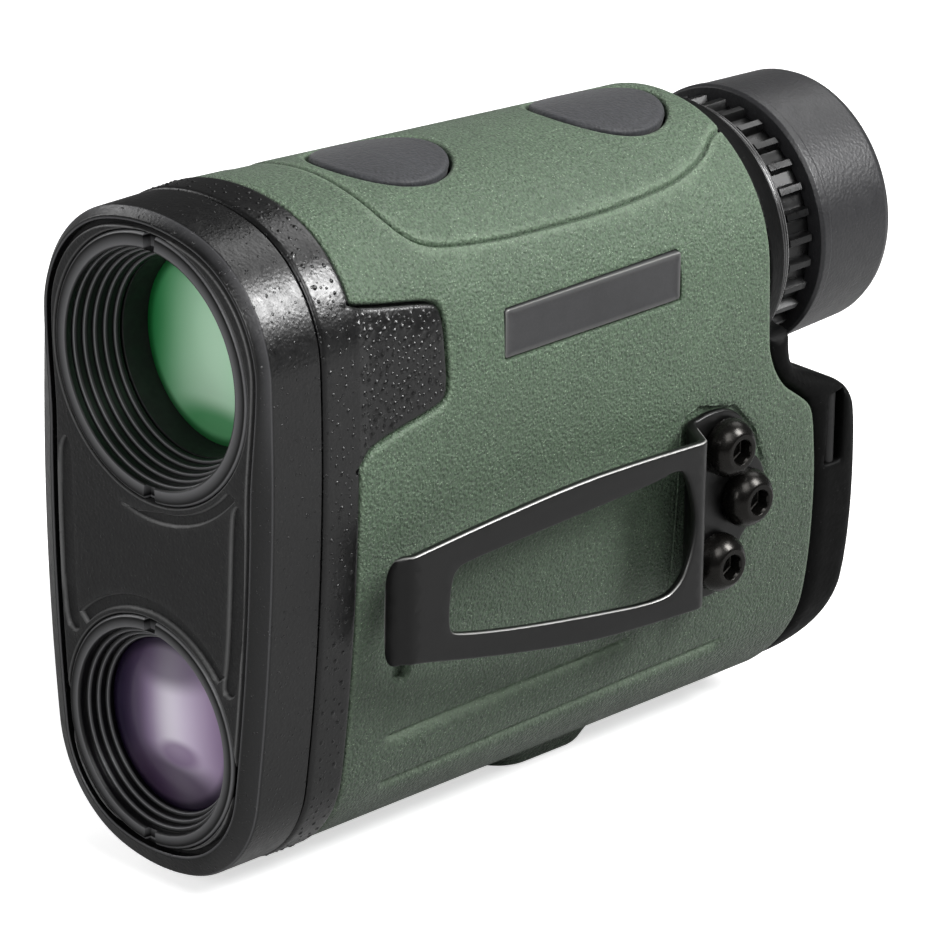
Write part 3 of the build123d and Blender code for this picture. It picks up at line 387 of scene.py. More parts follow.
surface("board_green", colour=(0.10, 0.27, 0.15), rough=0.38, coat=0.3, cloud=(0.35, 0.3),
        grain=(1.6, 0.25), bumps=[("pits", 0.9, 0.02, 0.4)])
surface("chip_black", colour=(0.07, 0.07, 0.075), rough=0.6, cloud=(0.3, 0.2),
        bumps=[("noise", 5.0, 0.01, 0.7)])
surface("switch_shell", colour=(0.50, 0.50, 0.51), rough=0.34, metal=0.9, cloud=(0.3, 0.1),
        bumps=[("noise", 4.0, 0.006, 0.7)])
surface("plunger_cream", colour=(0.78, 0.75, 0.66), rough=0.5, cloud=(0.3, 0.08),
        bumps=[("noise", 3.0, 0.01, 0.6)])
surface("display_dark", colour=(0.05, 0.06, 0.09), rough=0.12, spec=0.7, coat=0.6,
        cloud=(0.4, 0.2), bumps=[("noise", 2.0, 0.003, 0.5)])
surface("diode_metal", colour=(0.70, 0.62, 0.42), rough=0.26, metal=1.0, cloud=(0.4, 0.1),
        bumps=[("noise", 4.0, 0.005, 0.6)])
surface("battery_wrap", colour=(0.18, 0.30, 0.45), rough=0.3, coat=0.5, cloud=(0.15, 0.1),
        shade_and_tone_ramp=(1, 35.0, 37.0, 1.0, 0.35), bumps=[("noise", 1.0, 0.01, 0.5)])
surface("contact_nickel", colour=(0.74, 0.72, 0.67), rough=0.25, metal=1.0, cloud=(0.3, 0.08),
        bumps=[("noise", 4.0, 0.006, 0.6)])

# Lenses
glass_with_painted_reflection(
    "coated_glass_green", centre_z=0.0, radius=13.35, angle=-8,
    stops=[(0.0, (0.08, 0.42, 0.20)), (0.16, (0.28, 0.66, 0.42)), (0.34, (0.78, 0.93, 0.82)),
           (0.58, (0.94, 1.0, 0.95)), (0.85, (0.82, 0.97, 0.86)), (1.0, (0.56, 0.85, 0.63))],
    tint=(0.75, 1.0, 0.82), rim=(0.04, 0.30, 0.13), metal=0.2,
    spots=[(1.0, -11.5, 12.0, 5.5, (0.14, 0.60, 0.32), 0.8),
           (-3.0, 12.0, 12.0, 5.0, (0.14, 0.50, 0.28), 0.7)])
glass_with_painted_reflection(
    "coated_glass_violet", centre_z=LASER_Z, radius=11.6, angle=12,
    stops=[(0.0, (0.13, 0.11, 0.22)), (0.30, (0.20, 0.14, 0.25)), (0.44, (0.62, 0.54, 0.66)),
           (0.57, (1.0, 1.0, 1.0)), (0.7, (0.92, 0.88, 0.94)), (0.86, (0.70, 0.62, 0.73)),
           (1.0, (0.46, 0.38, 0.50))],
    tint=(0.95, 0.90, 1.0), rim=(0.10, 0.07, 0.14), metal=0.25,
    spots=[(0.5, -8.0, 12.5, 6.5, (0.24, 0.17, 0.27), 0.9),
           (-1.0, 9.0, 11.0, 4.5, (0.28, 0.22, 0.32), 0.7),
           (3.2, -2.6, 4.2, 2.4, (0.50, 0.40, 0.54), 0.75)])
glass_with_painted_reflection(
    "optical_glass", centre_z=EYE_Z, radius=11.55, angle=40,
    stops=[(0.0, (0.06, 0.08, 0.10)), (0.5, (0.14, 0.17, 0.20)), (1.0, (0.24, 0.27, 0.30))],
    tint=(0.9, 0.95, 1.0), rim=(0.03, 0.03, 0.04))


# ---------------------------------------------------------------------------
# Outlines and distances
# ---------------------------------------------------------------------------
def rounded(corners, segments=4, closed=True):
    """Polygon with corners (a, b[, radius]) rounded to the radius given."""
    out = []
    count = len(corners)
    for i, corner in enumerate(corners):
        radius = corner[2] if len(corner) > 2 else 0.0
        if radius <= 0 or (not closed and i in (0, count - 1)):
            out.append((corner[0], corner[1]))
            continue
        before, here, after = (np.array(q[:2], float) for q in
                               (corners[i - 1], corner, corners[(i + 1) % count]))
        back, ahead = before - here, after - here
        back_len, ahead_len = np.linalg.norm(back), np.linalg.norm(ahead)
        back, ahead = back / back_len, ahead / ahead_len
        half = math.acos(max(-1, min(1, float(back @ ahead)))) / 2
        if half > PI / 2 - 0.02:        # nearly straight: same count, spread along the edges
            for j in range(segments + 1):
                part = 2.0 * j / segments - 1.0
                point = here + (ahead if part > 0 else back) * abs(part) * 0.04
                out.append((float(point[0]), float(point[1])))
            continue
        cut = min(radius / math.tan(half), 0.49 * back_len, 0.49 * ahead_len)
        radius = cut * math.tan(half)
        middle = (back + ahead) / np.linalg.norm(back + ahead)
        centre = here + middle * radius / math.sin(half)
        start = math.atan2(*(here + back * cut - centre)[::-1])
        end = math.atan2(*(here + ahead * cut - centre)[::-1])
        sweep_angle = (end - start + PI) % TURN - PI
        for j in range(segments + 1):
            angle = start + sweep_angle * j / segments
            out.append((centre[0] + radius * math.cos(angle),
                        centre[1] + radius * math.sin(angle)))
    return out


def brace(rows, closed=True):
    """Extra points near both ends of every long side, so smooth shading keeps flats flat."""
    rows = np.asarray(rows, float)
    out = []
    count = rows.shape[1]
    for j in range(count):
        here, after = rows[:, j], rows[:, (j + 1) % count]
        out.append(here)
        length = np.linalg.norm(after - here, axis=1)
        if (closed or j < count - 1) and length.mean() > 0.4:
            part = (0.06 / np.maximum(length, 0.2))[:, None]
            out += [here + (after - here) * part, after - (after - here) * part]
    return np.stack(out, 1)


def distance_to(points, line, closed=False):
    """Distance from points to a polyline."""
    points, line = np.asarray(points, float), np.asarray(line, float)
    starts = line if closed else line[:-1]
    ends = np.roll(line, -1, 0) if closed else line[1:]
    along = ends - starts
    best = np.full(len(points), 1e9)
    for k in range(0, len(points), 4000):       # in blocks, to bound the memory used
        block = points[k:k + 4000, None, :]
        part = ((block - starts) * along).sum(2) / np.maximum((along * along).sum(1), 1e-12)
        nearest = starts + np.clip(part, 0, 1)[..., None] * along
        best[k:k + 4000] = np.sqrt(((block - nearest) ** 2).sum(2).min(1))
    return best


def inside(points, outline):
    points, outline = np.asarray(points, float), np.asarray(outline, float)
    x, y = points[:, 0][:, None], points[:, 1][:, None]
    x0, y0 = outline[:, 0], outline[:, 1]
    x1, y1 = np.roll(x0, -1), np.roll(y0, -1)
    rise = np.where(y1 == y0, 1e-12, y1 - y0)
    crossed = ((y0 > y) != (y1 > y)) & (x < (x1 - x0) * (y - y0) / rise + x0)
    return crossed.sum(1) % 2 == 1


def depth_inside(points, outline):
    """Distance to a closed outline, positive inside."""
    distance = distance_to(points, outline, True)
    return np.where(inside(points, outline), distance, -distance)


def resample(line, step, closed=False):
    line = np.asarray(line, float)
    if closed:
        line = np.vstack([line, line[:1]])
    length = np.r_[0, np.cumsum(np.linalg.norm(np.diff(line, axis=0), axis=1))]
    count = max(2, int(round(length[-1] / step)))
    at = np.linspace(0, length[-1], count + 1)
    out = np.stack([np.interp(at, length, line[:, 0]), np.interp(at, length, line[:, 1])], 1)
    return out[:-1] if closed else out


def smooth(line, times=2, closed=False):
    """Chaikin corner cutting."""
    line = np.asarray(line, float)
    for _ in range(times):
        here = line if closed else line[:-1]
        after = np.roll(line, -1, 0) if closed else line[1:]
        cut = np.stack([0.75 * here + 0.25 * after, 0.25 * here + 0.75 * after], 1)
        cut = cut.reshape(-1, 2)
        line = cut if closed else np.vstack([line[:1], cut, line[-1:]])
    return line


def offset(line, distance, closed=False):
    line = np.asarray(line, float)
    if closed:
        along = np.roll(line, -1, 0) - np.roll(line, 1, 0)
    else:
        along = np.gradient(line, axis=0)
    along /= np.maximum(np.linalg.norm(along, axis=1), 1e-9)[:, None]
    return line + distance * np.stack([along[:, 1], -along[:, 0]], 1)


def offset_rows(line, distances, closed=False):
    """Constraint rows beside a line, one per distance."""
    return [(offset(line, d, closed), closed) for d in distances]


def rows_towards(line, distances, region, inward, closed=False):
    """Constraint rows beside a line, on the side inside or outside a region."""
    rows = []
    for distance in distances:
        row = offset(line, distance, closed)
        probe = 0 if closed else len(row) // 2
        if inside(row[probe:probe + 1], region)[0] != inward:
            row = offset(line, -distance, closed)
        rows.append((row, closed))
    return rows


def edge_drop(distance, radius):
    """Drop of a rounded edge at a distance inside it."""
    part = np.clip((radius - distance) / radius, 0, 1)
    return radius * (1 - np.sqrt(np.maximum(1 - part * part, 0)))


def ease(start, end, value):
    """Smooth step from 0 at start to 1 at end."""
    part = np.clip((value - start) / (end - start), 0, 1)
    return part * part * (3 - 2 * part)


def peak(distance, width):
    """1 at zero distance, falling straight to 0 at the width."""
    return 1 - np.clip(np.abs(distance) / width, 0, 1)


# ---------------------------------------------------------------------------
# Meshes
# ---------------------------------------------------------------------------
def piece(name, verts, faces, mat, body="casing", slot=None, replaces=(), sharp=32.0,
          weld=0.0, edge=None):
    """Makes one object; edge gives the first vertices their painted edge highlight (edge_line)."""
    mesh = bpy.data.meshes.new(name)
    mesh.from_pydata(to_scene(verts).tolist(), [], [tuple(int(i) for i in f) for f in faces])
    if edge is not None:
        lines = np.zeros(len(verts))
        lines[:len(edge)] = edge
        mesh.attributes.new("edge_line", "FLOAT", "POINT").data.foreach_set("value", lines)
    work = bmesh.new()
    work.from_mesh(mesh)
    if weld:
        bmesh.ops.remove_doubles(work, verts=work.verts, dist=weld / 1000.0)
    bmesh.ops.dissolve_degenerate(work, dist=1e-8, edges=work.edges)
    bmesh.ops.recalc_face_normals(work, faces=work.faces)
    work.to_mesh(mesh)
    work.free()
    mesh.polygons.foreach_set("use_smooth", [True] * len(mesh.polygons))
    mesh.set_sharp_from_angle(angle=math.radians(sharp))
    mesh.materials.append(MAT[mat])
    made = bpy.data.objects.new(name, mesh)
    bpy.context.scene.collection.objects.link(made)
    if body:
        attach(made, body)
    if replaces:
        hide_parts(*replaces)
    return made


def join_rings(sizes, closed=False):
    """Faces between successive rings of vertices; a ring of one vertex is a centre point."""
    starts = np.cumsum([0] + sizes)
    around = max(sizes)
    faces = []
    for i in range(len(sizes) if closed else len(sizes) - 1):
        j = (i + 1) % len(sizes)
        a, b = starts[i], starts[j]
        if sizes[i] == 1 and sizes[j] == 1:
            continue
        for q in range(around):
            p = (q + 1) % around
            if sizes[i] == 1:
                faces.append((a, b + q, b + p))
            elif sizes[j] == 1:
                faces.append((a + q, a + p, b))
            else:
                faces.append((a + q, a + p, b + p, b + q))
    return faces


def lathe(name, profile, z, mat, around, body="casing", closed=True, reshape=None,
          about_x=None, edges=(), **options):
    """Solid of revolution from a (y, radius) profile, turned about the y direction at z.

    around: vertex count or angles; reshape(angles, y, radius) may move points;
    about_x: (y, z) of an axis along x, used instead, with x as the profile's first value;
    edges: profile points that get painted highlight lines.
    """
    profile = [tuple(q) for q in brace([profile], closed)[0]]
    glow = [max([0.0] + [1 - math.hypot(y - a, radius - b) / 0.17 for a, b in edges])
            for y, radius in profile]
    if isinstance(around, int):
        around = np.linspace(0, TURN, around, endpoint=False)
    rings = []
    for y, radius in profile:
        if radius < 1e-6:
            rings.append(np.array([(0.0, y, 0.0)]))
            continue
        ys, radii = np.full(len(around), y), np.full(len(around), radius)
        if reshape:
            ys, radii = reshape(around, ys, radii)
        rings.append(np.stack([radii * np.cos(around), ys, radii * np.sin(around)], 1))
    sizes = [len(ring) for ring in rings]
    verts = np.vstack(rings)
    if about_x:
        verts = np.stack([verts[:, 1], verts[:, 0] + about_x[0], verts[:, 2] + about_x[1]], 1)
    else:
        verts = verts + np.array([0.0, 0.0, z])
    return piece(name, verts, join_rings(sizes, closed), mat, body,
                 edge=np.repeat(glow, sizes) if edges else None, **options)


def triangulate(rows, filler, keep, clear):
    """Constrained triangulation of a flat region.

    rows: (points, closed) constraints; filler: loose points, used where they are further
    than clear from the rows; keep(centroids): which triangles stay.
    """
    points, edges = [], []
    for line, closed in rows:
        first = len(points)
        points += [tuple(p) for p in line]
        edges += [(first + i, first + i + 1) for i in range(len(line) - 1)]
        if closed:
            edges.append((first + len(line) - 1, first))
    tree = point_tree(points)
    for p in filler:
        if tree.find((p[0], p[1], 0))[2] > clear:
            points.append((float(p[0]), float(p[1])))
    result = delaunay_2d_cdt([Vector(p) for p in points], edges, [], 0, 0.004)
    points = np.array([tuple(v) for v in result[0]])
    faces = np.array([f for f in result[2] if len(f) == 3])
    faces = faces[keep(points[faces].mean(1))]
    a, b, c = (points[faces[:, i]] for i in range(3))
    area = np.abs((b[:, 0] - a[:, 0]) * (c[:, 1] - a[:, 1])
                  - (c[:, 0] - a[:, 0]) * (b[:, 1] - a[:, 1]))
    faces = faces[area > 1e-7]
    used = np.unique(faces)
    index = np.full(len(points), -1)
    index[used] = np.arange(len(used))
    return points[used], index[faces]


def point_tree(points):
    tree = KDTree(len(points))
    for i, p in enumerate(points):
        tree.insert((p[0], p[1], 0), i)
    tree.balance()
    return tree


def close_sheet(faces, front, back, middles=()):
    """Closes a triangulated sheet into a solid: front skin, back skin, walls between.

    middles: extra wall rows, each an array of positions for every vertex.
    """
    count = len(front)
    layers = [0] + [2 + i for i in range(len(middles))] + [1]
    solid = [tuple(f) for f in faces] + [(f[2] + count, f[1] + count, f[0] + count)
                                         for f in faces]
    edges = dict.fromkeys((f[i], f[(i + 1) % 3]) for f in faces for i in range(3))
    for a, b in edges:
        if (b, a) not in edges:
            for upper, lower in zip(layers, layers[1:]):
                upper, lower = upper * count, lower * count
                solid.append((b + upper, a + upper, a + lower, b + lower))
    verts = np.vstack([front, back] + list(middles))
    used = np.zeros(len(verts), bool)
    for face in solid:
        used[list(face)] = True
    index = np.cumsum(used) - 1
    return verts[used], [tuple(index[i] for i in face) for face in solid]


def filler_grid(x0, x1, y0, y1, step):
    """Staggered grid of loose points."""
    columns, rows = int((x1 - x0) / step) + 1, int((y1 - y0) / step) + 1
    x, y = np.meshgrid(np.linspace(x0, x1, columns), np.linspace(y0, y1, rows))
    x = x + (np.arange(rows) % 2)[:, None] * (x1 - x0) / columns * 0.5
    return np.stack([x.ravel(), y.ravel()], 1)


# ---------------------------------------------------------------------------
# Blended volumes: distance fields, negative inside
# ---------------------------------------------------------------------------
def grid_axes(bounds, step):
    return [np.arange(low, high + step, step) for low, high in bounds]


def surface_net(field, axes, step):
    """Closed quad surface of field < 0; the field at the grid's rim must be positive."""
    field = np.asarray(field, np.float32)
    solid = field < 0
    corners = [(i, j, k) for i in (0, 1) for j in (0, 1) for k in (0, 1)]
    cells = [n - 1 for n in field.shape]
    count = np.zeros(cells, np.uint8)
    for i, j, k in corners:
        count += solid[i:cells[0] + i, j:cells[1] + j, k:cells[2] + k]
    active = np.argwhere((count > 0) & (count < 8))
    index = np.full(cells, -1, np.int64)
    index[tuple(active.T)] = np.arange(len(active))
    total = np.zeros((len(active), 3))
    hits = np.zeros(len(active))
    for start in corners:
        for axis in range(3):
            if start[axis]:
                continue
            end = list(start)
            end[axis] = 1
            here, there = (field[tuple((active + corner).T)] for corner in (start, end))
            crossed = (here < 0) != (there < 0)
            part = np.where(crossed, here / np.where(crossed, here - there, 1), 0)
            point = np.tile(np.array(start, float), (len(active), 1))
            point[:, axis] += part
            total[crossed] += point[crossed]
            hits[crossed] += 1
    verts = (active + total / hits[:, None]) * step + np.array([axis[0] for axis in axes])
    faces = []
    for axis in range(3):
        one, two = [q for q in range(3) if q != axis]
        low, high = [slice(None)] * 3, [slice(None)] * 3
        low[axis], high[axis] = slice(0, -1), slice(1, None)
        change = np.argwhere(solid[tuple(low)] != solid[tuple(high)])
        for q in (one, two):
            change = change[(change[:, q] > 0) & (change[:, q] < field.shape[q] - 1)]
        quad = []
        for step_one, step_two in ((-1, -1), (0, -1), (0, 0), (-1, 0)):
            cell = change.copy()
            cell[:, one] += step_one
            cell[:, two] += step_two
            quad.append(index[tuple(cell.T)])
        faces.append(np.stack(quad, 1))
    return verts, np.vstack(faces)


def blend_max(first, second, radius):
    near = np.maximum(radius - np.abs(first - second), 0) / radius
    return np.maximum(first, second) + near * near * radius * 0.25


def blend_min(first, second, radius):
    return -blend_max(-first, -second, radius)


def outline_field(across, up, outline):
    points = np.stack([across.ravel(), up.ravel()], 1)
    return -depth_inside(points, outline).reshape(across.shape)


# ---------------------------------------------------------------------------
# Body surface: five tangent arcs a side, as a surface over (girth, y)
# ---------------------------------------------------------------------------
def outline_at(y):
    """Outline values at y; the top and shoulder radii stop changing at the rear."""
    part = np.maximum((np.asarray(y, float) - BAND_END) / (REAR_END - BAND_END), 0)
    return [a + (b - a) * (np.minimum(part, 1.0) if i in (1, 2) else part)
            for i, (a, b) in enumerate(zip(FRONT_OUTLINE, REAR_OUTLINE))]


def meeting_centre(first, first_reach, second, second_reach, upper):
    """Point at the given distances from two centres; upper picks the higher of the two."""
    dx, dz = second[0] - first[0], second[1] - first[1]
    gap = np.hypot(dx, dz)
    along = (first_reach * first_reach - second_reach * second_reach + gap * gap) / (2 * gap)
    aside = np.sqrt(np.maximum(first_reach * first_reach - along * along, 0))
    x, z = first[0] + along * dx / gap, first[1] + along * dz / gap
    one = (x + aside * dz / gap, z - aside * dx / gap)
    two = (x - aside * dz / gap, z + aside * dx / gap)
    pick = (one[1] > two[1]) == upper
    return np.where(pick, one[0], two[0]), np.where(pick, one[1], two[1])


def outline_arcs(outline):
    """Centres, radii and angle spans (from straight up, clockwise) of the right half's arcs."""
    top, top_r, shoulder_r, side_r, side_z, half_width, bottom, bottom_r, lower_r = outline
    zero = np.zeros_like(top)
    crown, side = (zero, top - top_r), (half_width - side_r, side_z)
    base = (zero, bottom + bottom_r)
    shoulder = meeting_centre(crown, top_r - shoulder_r, side, side_r - shoulder_r, True)
    lower = meeting_centre(base, bottom_r - lower_r, side, side_r - lower_r, False)
    bends = [np.arctan2(b[0] - a[0], b[1] - a[1]) for a, b in
             ((crown, shoulder), (side, shoulder), (side, lower), (base, lower))]
    stops = [zero] + bends + [zero + PI]
    return ([crown, shoulder, side, lower, base],
            [top_r, shoulder_r, side_r, lower_r, bottom_r], list(zip(stops, stops[1:])))


_, _radii, _spans = outline_arcs([np.array([float(v)]) for v in FRONT_OUTLINE])
ARC_LENGTH = np.array([float(radius[0] * (end[0] - start[0]))
                       for radius, (start, end) in zip(_radii, _spans)])
ARC_START = np.r_[0, np.cumsum(ARC_LENGTH)]
HALF = float(ARC_START[-1])                     # girth at the seam under the body


def on_body(girth, y, lift=0.0):
    """Points (x, y, z) on the body surface, raised by lift."""
    girth, y = np.broadcast_arrays(np.asarray(girth, float), np.asarray(y, float))
    lift = np.broadcast_to(np.asarray(lift, float), girth.shape)
    centres, radii, spans = outline_arcs(outline_at(y))
    reach = np.clip(np.abs(girth), 0, HALF)
    x, z = np.zeros(girth.shape), np.zeros(girth.shape)
    for i in range(5):
        end = ARC_START[i + 1]
        on = (reach >= ARC_START[i]) & ((reach <= end) if i == 4 else (reach < end))
        part = (reach[on] - ARC_START[i]) / ARC_LENGTH[i]
        start, stop = spans[i][0][on], spans[i][1][on]
        angle = start + (stop - start) * part
        radius = radii[i][on] + lift[on]
        x[on] = centres[i][0][on] + radius * np.sin(angle)
        z[on] = centres[i][1][on] + radius * np.cos(angle)
    return np.stack([np.where(girth < 0, -x, x), y, z], -1)


def section_field(x, z, outline):
    """Signed distance from the cross-section outline, negative inside."""
    centres, radii, spans = outline_arcs(outline)
    x = np.abs(x)
    field = None
    for i in (2, 0, 4, 1, 3):
        dx, dz = x - centres[i][0], z - centres[i][1]
        distance = np.hypot(dx, dz) - radii[i]
        if field is None:
            field = distance
        else:
            angle = np.arctan2(dx, dz)
            field = np.where((angle >= spans[i][0]) & (angle <= spans[i][1]), distance, field)
    return field


GIRTHS = np.linspace(0, HALF, 900)


def girth_at_z(y, z):
    return float(np.interp(-z, -on_body(GIRTHS, y)[:, 2], GIRTHS))


def girth_near(x, y, z):
    points = on_body(GIRTHS, y)
    i = int(np.argmin((points[:, 0] - abs(x)) ** 2 + (points[:, 2] - z) ** 2))
    return math.copysign(float(GIRTHS[i]), x or 1)


def girth_at_x(x, y):
    """On the top, from the plan position."""
    points = on_body(GIRTHS, y)
    widest = int(np.argmax(points[:, 0]))
    return math.copysign(float(np.interp(abs(x), points[:widest, 0], GIRTHS[:widest])), x or 1)


def side_line(points, right=True):
    """Side-view (y, z) points as (girth, y)."""
    side = 1 if right else -1
    return np.array([(side * girth_at_z(y, z), y) for y, z in points])


def closed_side(points, right, radius, step):
    """Closed side-view outline with rounded corners, as (girth, y)."""
    line = rounded([(y, z, radius) for y, z in points], 6)
    return side_line(resample(np.array(line), step, True), right)


def girth_row(y, step):
    """Row of points across the whole girth."""
    return resample(np.array([(-HALF, y), (HALF, y)]), step)


def closed_at(line, y):
    """Region between an open line and a row at y."""
    return np.vstack([line, [(line[-1, 0], y), (line[0, 0], y)]])


def body_sheet(points, faces, front, middle, back):
    """Solid sheet on the body from three lifts, with no wall along the seam underneath."""
    front, middle, back = (on_body(points[:, 0], points[:, 1], lift)
                           for lift in (front, middle, back))
    verts, solid = close_sheet(faces, front, back, [middle])
    seam = (np.abs(verts[:, 0]) < 0.02) & (verts[:, 2] < -60)
    return verts, [f for f in solid if not (len(f) == 4 and all(seam[i] for i in f))]


# ---------------------------------------------------------------------------
# Edges and features on the body
# ---------------------------------------------------------------------------
# Armour's rear edge in side view, from the top: (y, z)
ARMOUR_EDGE = [
    (88.8, 20.0), (88.8, -13.2), (89.4, -16.0), (90.4, -18.3), (92.2, -20.7), (94.8, -22.5),
    (96.9, -24.1), (97.9, -25.8), (98.5, -29.7), (99.2, -35.5), (99.6, -44.0), (99.5, -50.5),
    (98.6, -57.0), (97.0, -62.0), (94.5, -70.0)]
# Rear cover's back in side view, from the top: (y, z)
COVER_BACK = [
    (93.7, -13.2), (93.9, -16.7), (94.6, -18.3), (96.2, -19.8), (101.2, -21.8), (104.8, -23.6),
    (106.3, -25.2), (107.2, -27.4), (107.9, -34.4), (108.4, -43.0), (108.3, -50.0),
    (107.6, -55.0), (105.8, -59.5), (102.5, -63.5), (98.6, -67.5), (96.0, -70.0)]
# Grip tab behind the band in side view: (y, z)
TAB = [
    (15.0, 9.9), (16.2, 9.3), (22.0, 8.1), (28.8, 6.9), (30.0, 5.9), (30.4, .7), (30.7, -4.6),
    (30.0, -6.1), (27.3, -6.8), (22.3, -7.7), (17.6, -8.8), (16.0, -10.4), (15.0, -11.2)]
# Right half of the raised top's border, from the front: (x, y, z)
PLATEAU = [
    (0.0, 26.35, 19.3), (3.9, 26.3, 19.1), (9.2, 26.4, 17.9), (13.3, 27.3, 15.6),
    (15.6, 29.2, 13.8), (16.4, 32.0, 12.7), (16.8, 36.0, 12.0), (17.0, 42.7, 11.1),
    (17.1, 51.2, 10.6), (17.0, 60.3, 10.2), (16.7, 67.7, 10.3), (15.9, 75.8, 10.7),
    (14.6, 80.7, 11.6), (13.2, 83.9, 12.5), (11.6, 86.0, 13.3), (10.6, 90.0, 14.0)]
# Pockets in side view: (y, z)
BADGE_POCKET = [(40.4, -3.7), (72.1, -3.7), (72.1, 3.2), (40.4, 3.2)]
CLIP_POCKET = [
    (72.4, -19.6), (76.0, -18.9), (82.6, -20.6), (86.4, -24.6), (89.4, -32.0), (88.4, -38.6),
    (84.6, -45.6), (78.6, -47.0), (72.4, -45.4)]
PILL_POCKET = [(22.9, -33.0), (25.6, -33.0), (25.6, -42.3), (22.9, -42.3)]
# Upper and lower long grooves on each side: (y, z)
GROOVES = (
    [(22.4, -49.5), (30, -49.3), (45, -49.05), (58, -48.9), (65.6, -48.7)],
    [(22.6, -56.3), (32, -56.0), (48, -55.5), (64, -55.0), (84.0, -54.4)])

ARMOUR_GAP = 0.34               # armour to button
ARMOUR_LIP = 0.95               # radius of the armour's free edges
LIP_ROWS = (0.12, 0.32, 0.6, ARMOUR_LIP)

_edge = smooth(np.array(ARMOUR_EDGE), 3)
_edge = _edge[np.argsort(_edge[:, 1])]


def rear_edge(gap):
    """The armour's rear edge as a (girth, y) row across the whole girth."""
    girth = np.linspace(-HALF, HALF, 421)
    y = np.full(len(girth), 95.0)
    for _ in range(3):
        y = np.interp(on_body(girth, y)[:, 2], _edge[:, 1], _edge[:, 0]) - gap
    return np.stack([girth, y], 1)


def tab_line(grow, right):
    """Tab outline from the band seam round and back, grown by grow."""
    line = smooth(np.array(TAB), 3)
    return side_line(offset(resample(line, 0.45), -grow), right)


def button_loop(centre_y, grow):
    """Button hole edge on the surface."""
    loop = []
    for angle in np.linspace(0, TURN, 72, endpoint=False):
        y = centre_y + (9.1 + grow) * math.sin(angle)
        loop.append((girth_at_x((8.42 + grow) * math.cos(angle), y), y))
    return np.array(loop)


def plateau_line():
    """The raised top's border from the rear left round the front to the rear right."""
    right = [(girth_near(x, y, z), y) for x, y, z in PLATEAU]
    right[0] = (0.0, right[0][1])
    line = [(-girth, y) for girth, y in right[:0:-1]] + right
    return resample(smooth(np.array(line), 2), 0.5)


# ---------------------------------------------------------------------------
# Armour
# ---------------------------------------------------------------------------
def armour_features():
    tabs = [tab_line(0.32, right) for right in (True, False)]
    return SimpleNamespace(
        rear=rear_edge(0.05),
        tabs=tabs,
        tab_regions=[closed_at(tab, 10.0) for tab in tabs],
        holes=[button_loop(y, ARMOUR_GAP) for y in (MENU_Y, MEASURE_Y)],
        plateau=plateau_line(),
        badges=[closed_side(BADGE_POCKET, right, 0.5, 0.55) for right in (True, False)],
        clip=closed_side(CLIP_POCKET, True, 2.0, 0.6),
        pill=closed_side(PILL_POCKET, True, 1.25, 0.3),
        grooves=[resample(side_line(points, right), 0.6)
                 for points in GROOVES for right in (True, False)])


def armour_rows(parts):
    """Mesh rows along every edge, groove and pocket."""
    rows = [(girth_row(ARMOUR_START, 0.55), False), (parts.rear, False)]
    for inset in LIP_ROWS:
        rows.append((girth_row(ARMOUR_START + inset, 0.6), False))
        rows.append((parts.rear - [0, inset], False))
    for tab, region in zip(parts.tabs, parts.tab_regions):
        rows += rows_towards(tab, (0.0,) + LIP_ROWS, region, False)
    for y in (MENU_Y, MEASURE_Y):
        rows += [(button_loop(y, ARMOUR_GAP + d), True) for d in (0.0,) + LIP_ROWS]
    rows += offset_rows(parts.plateau, (-0.5, -0.28, -0.14, 0.0, 0.14, 0.28, 0.5))
    for groove in parts.grooves:
        rows += offset_rows(groove, (-0.9, -0.55, -0.3, -0.14, 0.0, 0.14, 0.3, 0.55, 0.9))
    for badge in parts.badges:
        rows += offset_rows(badge, (-0.4, 0.4, -0.2, 0.2, 0.0, 0.12, -0.12, 0.35, -0.35), True)
    rows += offset_rows(parts.clip, (-0.7, -0.4, -0.15, 0.0, 0.2, 0.6), True)
    rows += offset_rows(parts.pill, (-0.3, -0.12, 0.08, 0.3), True)
    step = resample(np.array([(-30.0, 21.8), (30.0, 21.8)]), 0.6)
    rows += [(step + [0, d], False) for d in (-0.6, 0.0, 0.6)]
    seam_y = np.arange(16.9, 98.0, 1.2)         # matching rows on the seam under the body
    rows += [(np.stack([np.full(len(seam_y), side * HALF), seam_y], 1), False)
             for side in (-1, 1)]
    return rows


def pocket_rim(depth, width, drop):
    """Softened surface just outside a pocket."""
    return np.where((depth <= 0) & (depth > -width), drop * (1 + depth / width) ** 2, 0)


